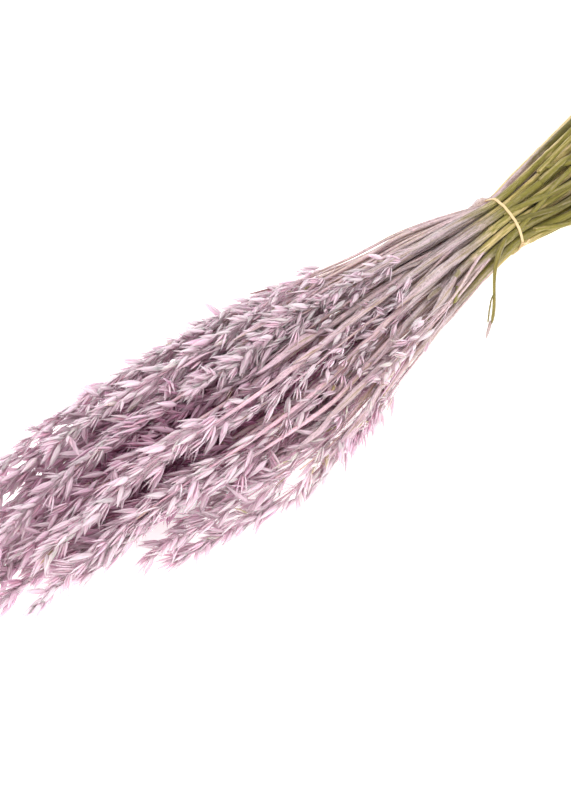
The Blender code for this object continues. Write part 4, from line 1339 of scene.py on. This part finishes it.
class OATS_OT_culms(bpy.types.Operator):
    """Sweep every culm along its stem, with knots, and open its cut end"""
    bl_idname = "oats.culms"
    bl_label = "Culms"

    def execute(self, context):
        kit = context.scene.oats_straw
        paths = [culm_path(stem, kit.knot) for stem in STEMS] + [crossing_path(*each) for each in CROSSING]
        sweep("oat_culms", STEM_NODES, paths, kit.sides)
        sweep("side_shoots", STEM_NODES, [shoot.path() for shoot in SHOOTS], 6)
        models = model_group("cut_end_model", [[straw_mouth(kit.hollow)]])
        copies("cut_straw_ends", STEM_NODES, models, [stem.route(stem.cut + 0.0040) for stem in STEMS], {
            "aim": [-stem.heading(stem.cut + 0.002) for stem in STEMS],
            "outward": [(0, 0, 1)] * len(STEMS), "size": [stem.radius * 1.012 for stem in STEMS],
            "kind": [0] * len(STEMS), "tone": [stem_tone(stem) for stem in STEMS], "dye": [0.0] * len(STEMS)})
        drop_models(models)
        return {"FINISHED"}


# Share of a blade's length, share of its full half-width, then the same for the short blade at the band
BLADE_OUTLINE = ((0.0, 0.62), (0.10, 0.80), (0.30, 1.0), (0.55, 0.97), (0.80, 0.66), (1.0, 0.06))
BAND_LEAF_OUTLINE = ((0.0, 0.30), (0.18, 0.90), (0.42, 1.0), (0.72, 0.62), (1.0, 0.06))
BAND_LEAF_TURN = math.radians(9)
LEAF_ROWS = 32
LEAF_SHARES = [i / LEAF_ROWS for i in range(LEAF_ROWS + 1)]
LEAF_LOWEST = 0.0006
SHEATH_STEP = 0.007
SHEATH_ARC = 1.7
ALONG = Vector((1, 0, 0))
# The green leaf that hangs from the near side: its blade, split edge and bleached tip as stops of (distance
# from the band, y, z, visible half-width), with the dye and tone of each
HANGING_LEAF = (
    (((0.0150, -0.0184, 0.0440, 0.0010), (0.0198, -0.0217, 0.0475, 0.0017), (0.0300, -0.0261, 0.0460, 0.0022),
      (0.0387, -0.0309, 0.0380, 0.0016), (0.0443, -0.0364, 0.0270, 0.0012), (0.0471, -0.0401, 0.0180, 0.0013),
      (0.0502, -0.0437, 0.0080, 0.0014), (0.0527, -0.0456, 0.0025, 0.0013),
      (0.0576, -0.0493, 0.0010, 0.0005)), 0.0, 0.60),
    (((0.0460, -0.0390, 0.0210, 0.0005), (0.0488, -0.0392, 0.0165, 0.0006), (0.0520, -0.0410, 0.0085, 0.0007),
      (0.0588, -0.0463, 0.0012, 0.0006)), 0.0, 0.30),
    (((0.0555, -0.0462, 0.0012, 0.0008), (0.0600, -0.0492, 0.0010, 0.0014), (0.0660, -0.0528, 0.0010, 0.0012),
      (0.0712, -0.0562, 0.0008, 0.0004)), 1.0, 0.75),
)
FOLD_ARC = 1.25
FOLD_STEPS = 22
FOLD_FACING = Vector((0.25, 0.45, -0.86))
FOLD_EDGE_TONE = 0.10
# A broad pale leaf along the near edge of the heads: (distance from the band, y, z)
EDGE_LEAF = ((0.1500, -0.0380, 0.0470), (0.1765, -0.0500, 0.0580), (0.2040, -0.0570, 0.0650),
             (0.2270, -0.0610, 0.0665), (0.2460, -0.0640, 0.0670), (0.2650, -0.0680, 0.0665),
             (0.2795, -0.0665, 0.0630), (0.2915, -0.0635, 0.0580))
EDGE_LEAF_HALF = 0.0029
EDGE_LEAF_STEPS = 30
# Angle round the bunch in degrees, distance from the band: sheaths torn open, their dark inside outward
TORN_LEAVES_AT = ((140, 0.088), (141, 0.126))
# Shrivelled blades: angles round the bunch, then the ranges of their feet, lengths, widths and turns
WITHERED_SIDE = (50, 160)
WITHERED_FEET = (0.055, 0.25)
WITHERED_LENGTHS = (0.022, 0.055)
WITHERED_WIDTHS = (0.0035, 0.0065)
WITHERED_TURNS = (0.8, 3.2)
# Loose leaves and torn scraps: the ranges of their lengths, widths, lifts and sheaths
LOOSE_LENGTHS = (0.040, 0.105)
LOOSE_WIDTHS = (0.0040, 0.0078)
LOOSE_LIFTS = (0.001, 0.006)
LOOSE_SHEATHS = (0.05, 0.11)
LOOSE_END = 0.225
SCRAP_LENGTHS = (0.009, 0.022)
SCRAP_WIDTHS = (0.0035, 0.0060)
SCRAP_LIFTS = (0.002, 0.005)
SCRAP_DYES = (0.25, 0.8)
OVER_SHEATH = 0.05
# The near lower side, where culms stand apart with nothing between them
NO_LEAVES = (182, 330)


def leaf_shell(rows):
    """A blade as a closed shell. Each row is (middle, facing, half-width, arc, dye, tone)."""
    spine, outs, halves, arcs, *looks = zip(*rows)
    spine = [p + SHIFT for p in spine]
    sides, faced = [], []
    for i, out in enumerate(outs):
        ahead = (spine[min(i + 1, len(spine) - 1)] - spine[max(i - 1, 0)]).normalized()
        sides.append(ahead.cross(out).normalized())
        faced.append(sides[-1].cross(ahead).normalized())
    thickness = bpy.context.scene.oats_straw.leaf_thickness
    points, faces, values = strip_shell(spine, sides, faced, halves, arcs, thickness)
    for point in points:
        point.z = max(point.z, 0.0002)
    per_row = len(points) // (len(rows) - 1)
    for key, data in zip(("dye", "tone"), looks):
        values[key] = [value for value in data[:-1] for _ in range(per_row)] + [data[-1]]
    values["deep"] = [0.6 * depth_at(p - SHIFT) for p in points]
    values["inner"] = [spot[2] / INNER_GRAIN for spot in values["grain"]]
    return points, faces, values


def leaf_on_stem(stem, side, foot, length, width, lift, drift, draw, sheath=0.0, twist=0.0, dye_share=1.0):
    """A leaf: its sheath wraps the culm below the foot, then the blade lifts off and drifts aside."""
    begins = dye_start(stem)
    out = from_axis(side)
    own_tone = draw.random()
    flutter = draw.uniform(0, 6.28)
    rows = []
    sheath_rows = int(sheath / SHEATH_STEP)
    for i in range(sheath_rows):
        u = foot - math.copysign(sheath, length) * (1 - i / sheath_rows)
        radius = stem.radius_at(u) + mix(-0.0003, 0.00025, min(1.0, i / 3))
        arc = mix(2.75, SHEATH_ARC, (i / sheath_rows) ** 3) * min(1.0, 0.25 + 0.25 * i)
        rows.append((stem.route(u) + out * radius, out, radius * arc, arc, dye_at(u, begins),
                     stem_tone(stem)))
    for share in LEAF_SHARES:
        u = foot + length * share
        radius = stem.radius_at(u)
        rise = radius + mix(0.0004, LEAF_CLEAR, min(1, share * 6))
        rise += lift * math.sin(min(1.0, share * LEAF_ARCH) * math.pi / 2)
        rise += 0.0008 * math.sin(flutter + share * 9) * share
        centre = stem.route(u) + out * rise + beside(out) * drift * share
        centre.z = max(centre.z, LEAF_LOWEST)
        facing = turned(out, ALONG, twist * share ** 1.3 + 0.15 * math.sin(flutter + share * 7))
        half = width * 0.5 * smooth(BLADE_OUTLINE, share)
        half *= 1 + 0.10 * math.sin(flutter * 3 + share * 13) + 0.05 * math.sin(flutter * 5 + share * 27)
        half = mix((radius + 0.0004) * SHEATH_ARC, half, min(1.0, share * 5))
        arc = mix(SHEATH_ARC, 0.55 + 0.25 * math.sin(flutter * 2 + share * 5), min(1.0, share * 5))
        rows.append((centre, facing, half, arc, dye_at(u, begins) * dye_share,
                     mix(stem_tone(stem), own_tone, 0.5 * min(1.0, share * 4))))
    return leaf_shell(rows)


def band_leaf(stem):
    """The short blade at the band: it turns up on edge against the bunch, so its flat side shows."""
    leaf = stem.leaf
    out = from_axis(leaf.side + BAND_LEAF_TURN)
    toward = beside(out)
    rows = []
    for share in LEAF_SHARES:
        turn = eased(min(1.0, share * 3))
        u = 0.5 * leaf.foot + leaf.length * share * 0.75
        centre = stem.route(u) + out * (stem.radius_at(u) + mix(0.0010, 0.0022, turn) - 0.0020 * share ** 2)
        centre += toward * 0.0010 * math.sin(share * 5)
        half = leaf.width * 0.5 * smooth(BAND_LEAF_OUTLINE, share) * (1 + 0.12 * math.sin(share * 17))
        rows.append((centre, (out * (1 - turn) + toward * turn).normalized(), half, mix(1.0, 0.35, turn),
                     0.95, 0.72))
    return leaf_shell(rows)


def folded_strip(stops, dye, middle_tone):
    """A narrow strip folded lengthwise, hollow side up, its edges darker than its middle."""
    route = smooth_route(in_frame(stops), FOLD_STEPS)
    widths = tuple((k, stop[3]) for k, stop in enumerate(stops))
    flat = FOLD_ARC / math.sin(FOLD_ARC)
    points, faces, values = leaf_shell([
        (centre, FOLD_FACING, flat * smooth(widths, (len(stops) - 1) * i / FOLD_STEPS), FOLD_ARC, dye, 0.0)
        for i, centre in enumerate(route)])
    values["inner"] = [0.0] * len(points)
    values["tone"] = [mix(middle_tone, FOLD_EDGE_TONE, min(1.0, 1.3 * abs(v))) for v in values["across"]]
    return points, faces, values


def edge_leaf():
    """The broad leaf that lies flat along the near edge, its face to the light."""
    rows = []
    for i, centre in enumerate(smooth_route(in_frame(EDGE_LEAF), EDGE_LEAF_STEPS)):
        share = i / EDGE_LEAF_STEPS
        half = EDGE_LEAF_HALF * smooth(BLADE_OUTLINE, share) * (1 + 0.10 * math.sin(share * 19))
        facing = turned(SIGHT, ALONG, 0.35 * math.sin(1.0 + share * 6))
        rows.append((centre, facing, half, 0.5, 1.25, 0.95))
    return leaf_shell(rows)


def rest_leaf(stem):
    """A blade under the bunch, pressed flat on the surface by the weight above it."""
    rows = []
    for share in LEAF_SHARES:
        u = stem.leaf.foot + REST_LEAF_LENGTH * share
        centre = stem.route(u)
        start = centre.z - stem.radius_at(u) - LEAF_CLEAR
        centre.z = mix(start, 0.0003, eased(min(1.0, share / REST_LEAF_FALL)))
        centre.y += stem.leaf.drift * share
        half = REST_LEAF_WIDTH * 0.5 * smooth(BLADE_OUTLINE, share)
        rows.append((centre, Vector((0, 0, -1)), half, 0.12, 1.0, 0.5))
    return leaf_shell(rows)


def withered_leaf(stem, foot, length, width, turns, draw):
    """A shrivelled blade: it winds about its own line and rolls up, so that its dark inner face shows."""
    out = from_axis(stem.side_at(foot) + draw.gauss(0, 0.35))
    begins = dye_start(stem)
    drift, wave, start = draw.gauss(0, 0.006), draw.uniform(0.0006, 0.0016), draw.uniform(0, 6.28)
    rows = []
    for share in LEAF_SHARES:
        u = foot + length * share
        rise = stem.radius_at(u) + mix(0.0004, 0.0028, min(1.0, share * 2.5))
        rise += wave * math.sin(start + share * 8)
        aside = drift * share + wave * math.cos(start * 2 + share * 7) * min(1.0, share * 4)
        centre = stem.route(u) + out * rise + beside(out) * aside
        centre.z = max(centre.z, LEAF_LOWEST)
        facing = turned(out, ALONG, turns * share + 0.5 * math.sin(start + share * 5))
        half = width * 0.5 * smooth(BLADE_OUTLINE, share) * (1 + 0.12 * math.sin(start + share * 15))
        arc = mix(SHEATH_ARC, 1.1 + 0.4 * math.sin(start * 3 + share * 9), min(1.0, share * 4))
        rows.append((centre, facing, half, arc, dye_at(u, begins) * draw.uniform(0.8, 1.0)))
    tone = draw.random()
    return leaf_shell([(*row, tone) for row in rows])


def withered_leaves(kit):
    """Shrivelled blades between the band and the heads, on the sides that face up and near."""
    draw = random.Random(SEED + 101)
    facing = sorted(STEMS, key=lambda s: -(s.z - 0.6 * s.y + 0.4 * math.hypot(s.y, s.z)))[:24]
    shells = []
    for k in range(kit.withered):
        stem = facing[(k * 5) % len(facing)]
        foot = draw.uniform(WITHERED_FEET[0], min(WITHERED_FEET[1], stem.head_foot + 0.02))
        if WITHERED_SIDE[0] < math.degrees(stem.side_at(foot)) % 360 < WITHERED_SIDE[1]:
            shells.append(withered_leaf(stem, foot, draw.uniform(*WITHERED_LENGTHS),
                                        draw.uniform(*WITHERED_WIDTHS),
                                        draw.choice((-1, 1)) * draw.uniform(*WITHERED_TURNS), draw))
    for degrees, u in TORN_LEAVES_AT:
        angle = math.radians(degrees)
        torn = outermost(angle, u)
        shells.append(withered_leaf(torn, u, 0.052, 0.0125, 1.6, draw))
        shells.append(leaf_on_stem(torn, angle, u - 0.008, 0.017, 0.0070, 0.004, 0.004, draw, twist=0.6,
                                   dye_share=0.1))
    return shells


def kept_bare(side):
    return NO_LEAVES[0] < math.degrees(side) % 360 < NO_LEAVES[1]


def loose_leaves(kit):
    """More dry blades, sheaths and torn scraps on the outer stems, as between the culms of a real bunch."""
    draw = random.Random(SEED + 77)
    shells = []
    outer = sorted(STEMS, key=lambda s: -math.hypot(s.y, s.z))
    for k in range(kit.extra_leaves):
        stem = outer[k % len(outer)]
        foot = draw.uniform(0.02, min(0.27, stem.head_foot + 0.01))
        side = stem.side_at(foot) + draw.gauss(0, 0.5)
        if foot < 0.20 and kept_bare(side):
            continue
        length = min(draw.uniform(*LOOSE_LENGTHS), max(0.028, LOOSE_END - foot))
        width = draw.uniform(*LOOSE_WIDTHS)
        free = min(1.0, max(0.15, (foot + 0.5 * length - 0.03) / 0.15))
        shells.append(leaf_on_stem(stem, side, foot, length, width * mix(0.65, 1.0, free),
                                   draw.uniform(*LOOSE_LIFTS) * free, draw.gauss(0, 0.007) * free, draw,
                                   sheath=draw.uniform(*LOOSE_SHEATHS), twist=draw.gauss(0, 1.7) * free))
    for k in range(kit.scraps):
        stem = outer[(k * 3) % (len(outer) // 2)]
        foot = draw.uniform(0.05, min(0.22, stem.head_foot))
        side = stem.side_at(foot) + draw.gauss(0, 0.5)
        if not kept_bare(side):
            shells.append(leaf_on_stem(stem, side, foot, draw.uniform(*SCRAP_LENGTHS),
                                       draw.uniform(*SCRAP_WIDTHS), draw.uniform(*SCRAP_LIFTS),
                                       draw.gauss(0, 0.003), draw,
                                       twist=draw.gauss(0, 0.8), dye_share=draw.uniform(*SCRAP_DYES)))
    return shells


class OATS_OT_leaves(bpy.types.Operator):
    """Lay the dry leaf blades and sheaths over and between the culms"""
    bl_idname = "oats.leaves"
    bl_label = "Leaves"

    def execute(self, context):
        kit = context.scene.oats_straw
        draw = random.Random(SEED + 31)
        bearers = [stem for stem in STEMS if stem.leaf]
        blades = []
        for stem in bearers:
            leaf = stem.leaf
            if leaf.kind == "rest":
                blades.append(rest_leaf(stem))
            elif leaf.kind == "over" and leaf.foot < 0 < leaf.foot + leaf.length:
                blades.append(band_leaf(stem))
            elif leaf.kind == "over":
                blades.append(leaf_on_stem(stem, leaf.side, leaf.foot, leaf.length, leaf.width, leaf.lift,
                                           leaf.drift, draw, sheath=OVER_SHEATH if leaf.length > 0 else 0.0,
                                           twist=draw.uniform(-0.3, 0.3)))
        shell_piece("leaf_blades", blades, [STEM_NODES[stem.number] for stem in bearers])
        shell_piece("hanging_leaf", [folded_strip(*strip) for strip in HANGING_LEAF],
                    [STEM_NODES[stem.number] for stem in bearers if stem.leaf.kind == "hanging"])
        shell_piece("loose_leaves", loose_leaves(kit) + withered_leaves(kit) + [edge_leaf()], STEM_NODES)
        return {"FINISHED"}


OUTLINE_POINTS = 120
CULM_OUTLINE_POINTS = 48
BAND_CLEAR = 0.00015
STRAND_SIDES = 10
# The doubled nub: half-widths of its strand, its collar and the collar's ring
STRAND_HALVES = (0.00105, 0.00075)
COLLAR_RADIUS = 0.0004
COLLAR_HALVES = (0.00155, 0.00085)
COLLAR_POINTS = 20
NUB_STEPS = 12


def hull(points):
    """Convex outline of flat (y, z) points, anticlockwise."""
    def half(run):
        kept = []
        for p in run:
            while len(kept) > 1 and ((kept[-1][0] - kept[-2][0]) * (p[1] - kept[-2][1])
                                     - (kept[-1][1] - kept[-2][1]) * (p[0] - kept[-2][0])) <= 0:
                kept.pop()
            kept.append(p)
        return kept[:-1]
    points = sorted(points)
    return half(points) + half(points[::-1])


def band_outline():
    """Closed outline of the stretched band round the outermost culms, evenly spaced."""
    flat = []
    for stem in STEMS:
        centre = stem.route(0.0) + SHIFT
        flat += [(centre.y + y, centre.z + z) for y, z in
                 oval(stem.radius + BAND_CLEAR, stem.radius + BAND_CLEAR, CULM_OUTLINE_POINTS)]
    corners = [Vector(corner) for corner in hull(flat)]
    after = corners[1:] + corners[:1]
    lengths = [(b - a).length for a, b in zip(corners, after)]
    outline, i, gone = [], 0, 0.0
    for k in range(OUTLINE_POINTS):
        want = sum(lengths) * k / OUTLINE_POINTS
        while gone + lengths[i] < want:
            gone += lengths[i]
            i += 1
        outline.append(corners[i].lerp(after[i], (want - gone) / lengths[i]))
    return outline


def oval(half_width, half_height, count):
    """Evenly turned points round a flat oval."""
    angles = [2 * math.pi * k / count for k in range(count)]
    return [(half_width * math.cos(angle), half_height * math.sin(angle)) for angle in angles]


def rounded_section(width, thickness, corner=0.32, steps=3):
    """Flat band section with rounded edges, as (along X, outward) pairs round it."""
    bevel = thickness * corner
    section = []
    for cx, top, start in ((1, True, 0), (-1, True, 90), (-1, False, 180), (1, False, 270)):
        for k in range(steps + 1):
            angle = math.radians(start + 90 * k / steps)
            section.append((cx * (width / 2 - bevel) + bevel * math.cos(angle),
                            (thickness - bevel if top else bevel) + bevel * math.sin(angle)))
    return section


def sweep_section(stations, section, closed):
    """Closed mesh of a section carried along a path of (centre, right, out, scale) stations."""
    points, grain, gone = [], [], 0.0
    before = stations[0][0]
    for centre, right, out, scale in stations:
        gone += (centre - before).length
        before = centre
        points += [centre + right * x * scale + out * y * scale for x, y in section]
        grain += [(gone, x, y) for x, y in section]
    return points, ring_faces(len(stations), len(section), closed), {"grain": grain}


class OATS_OT_band(bpy.types.Operator):
    """Stretch the rubber band round the culms, with its doubled nub"""
    bl_idname = "oats.band"
    bl_label = "Rubber band"

    def execute(self, context):
        outline = band_outline()
        heart = sum(outline, Vector((0, 0))) / len(outline)
        ring = []
        for i, point in enumerate(outline):
            ahead = outline[(i + 1) % len(outline)] - outline[i - 1]
            out = Vector((0, ahead.y, -ahead.x)).normalized()
            if out.yz.dot(point - heart) < 0:
                out.negate()
            ripple = 0.00022 * math.sin(i * 0.37) + 0.00012 * math.sin(i * 1.1)
            ring.append((Vector((TIE_X + ripple, point.x, point.y)), ALONG, out, 1.0))
        section = rounded_section(context.scene.oats_straw.band_width, BAND_THICKNESS)
        shells = [sweep_section(ring, section, True)]
        at = min(range(len(outline)), key=lambda i: abs(
            (math.atan2(*reversed(outline[i] - heart)) - BAND_NUB_ANGLE + math.pi) % (2 * math.pi) - math.pi))
        out = ring[at][2]
        foot = ring[at][0] + out * BAND_THICKNESS
        tangent = (ring[(at + 1) % len(ring)][0] - ring[at - 1][0]).normalized()
        for sign, reach in ((1, 1.0), (-1, 0.82)):
            strand = []
            for i in range(NUB_STEPS + 1):
                share = i / NUB_STEPS
                x = BAND_NUB_LENGTH * reach * share - BAND_WIDTH * 0.4
                spread = 0.0021 * (1 - min(1, share * 2.2)) ** 2 + 0.00075 + 0.0030 * max(0, share - 0.35)
                rise = 0.0002 + 0.0011 * math.sin(min(1.0, share * 1.3) * math.pi * 0.75)
                strand.append((foot + ALONG * x + tangent * sign * spread + out * rise, tangent, out,
                               1 - 0.25 * share ** 3))
            shells.append(sweep_section(strand, oval(*STRAND_HALVES, STRAND_SIDES), False))
        collar = []
        for y, z in oval(*COLLAR_HALVES, COLLAR_POINTS):
            radial = tangent * y + out * z
            centre = Vector((foot.x + BAND_WIDTH * 0.75, foot.y, foot.z)) + out * 0.0010 + radial
            collar.append((centre, ALONG, radial.normalized(), 1.0))
        shells.append(sweep_section(collar, oval(COLLAR_RADIUS, COLLAR_RADIUS, STRAND_SIDES), True))
        shell_piece("rubber_band", shells, ["elastic_band"], "natural_rubber")
        return {"FINISHED"}


def view_axes():
    """Up, back and right directions of the camera."""
    back = Vector((math.sin(VIEW_AZIMUTH) * math.cos(VIEW_ELEVATION),
                   -math.cos(VIEW_AZIMUTH) * math.cos(VIEW_ELEVATION), math.sin(VIEW_ELEVATION)))
    right = Vector((math.cos(VIEW_AZIMUTH), math.sin(VIEW_AZIMUTH), 0))
    return back.cross(right), back, right


def add_camera():
    """Camera that sees the tie where the photograph has it."""
    up, back, right = view_axes()
    pixel = VIEW_DISTANCE * SENSOR_MM / (IMAGE_HEIGHT * LENS_MM)
    tie = Vector((TIE_X, SHIFT.y + TIE_ASIDE, TIE_HEIGHT))
    data = bpy.data.cameras.new("Camera")
    data.lens = LENS_MM
    data.sensor_width = SENSOR_MM
    data.clip_end = 20
    camera = place("Camera", data)
    aside, above = (TIE_PIXEL[0] - IMAGE_WIDTH / 2) * pixel, (IMAGE_HEIGHT / 2 - TIE_PIXEL[1]) * pixel
    turn = Matrix((right, up, back)).transposed().to_4x4()
    camera.matrix_world = Matrix.Translation(tie + back * VIEW_DISTANCE - right * aside - up * above) @ turn
    bpy.context.scene.camera = camera


def add_light(name, shares, distance, width, power):
    """Square soft light that looks at the middle of the bunch from a direction."""
    data = bpy.data.lights.new(name, "AREA")
    data.size = width
    data.energy = power
    lamp = place(name, data)
    away = sum((axis * part for axis, part in zip(view_axes(), shares)), Vector((0, 0, 0))).normalized()
    lamp.location = LIT_POINT + away * distance
    lamp.rotation_euler = away.to_track_quat("Z", "Y").to_euler()


class OATS_OT_stage(bpy.types.Operator):
    """Set the pale floor, the soft studio light and the camera"""
    bl_idname = "oats.stage"
    bl_label = "Stage"

    def execute(self, context):
        mesh = bpy.data.meshes.new("floor")
        corners = [(x * FLOOR_HALF, y * FLOOR_HALF, FLOOR_Z) for x, y in ((-1, -1), (1, -1), (1, 1), (-1, 1))]
        mesh.from_pydata(corners, [], [(0, 1, 2, 3)])
        mesh.materials.append(finish("lit_white_acrylic"))
        place("floor", mesh)
        world = bpy.data.worlds.new("Studio")
        world.use_nodes = True
        sky = world.node_tree.nodes["Background"].inputs
        sky[0].default_value = (1, 1, 1, 1)
        sky[1].default_value = WORLD_LIGHT
        context.scene.world = world
        for lamp in LAMPS:
            add_light(*lamp)
        context.scene.view_settings.view_transform = "Standard"
        add_camera()
        return {"FINISHED"}


class OATS_PT_panel(bpy.types.Panel):
    """Sidebar panel with the bundle's settings and steps"""
    bl_label = "Dried oats bundle"
    bl_idname = "OATS_PT_panel"
    bl_space_type = "VIEW_3D"
    bl_region_type = "UI"
    bl_category = "Oats"

    def draw(self, context):
        for key in GROUPS:
            group = getattr(context.scene, key)
            for name in group.__annotations__:
                self.layout.prop(group, name)
        for step in STEPS:
            self.layout.operator(step.bl_idname)


GROUPS = {"oats_heads": OatsHeads, "oats_straw": OatsStraw, "oats_colours": OatsColours}
STEPS = (OATS_OT_stage, OATS_OT_culms, OATS_OT_leaves, OATS_OT_heads, OATS_OT_band)
CLASSES = (*GROUPS.values(), *STEPS, OATS_PT_panel)


def register():
    for each in CLASSES:
        bpy.utils.register_class(each)
    for key, group in GROUPS.items():
        setattr(bpy.types.Scene, key, PointerProperty(type=group))


def unregister():
    for key in GROUPS:
        delattr(bpy.types.Scene, key)
    for each in reversed(CLASSES):
        bpy.utils.unregister_class(each)


def main():
    register()
    for step in STEPS:
        group, name = step.bl_idname.split(".")
        getattr(getattr(bpy.ops, group), name)()


if __name__ == "__main__":
    main()
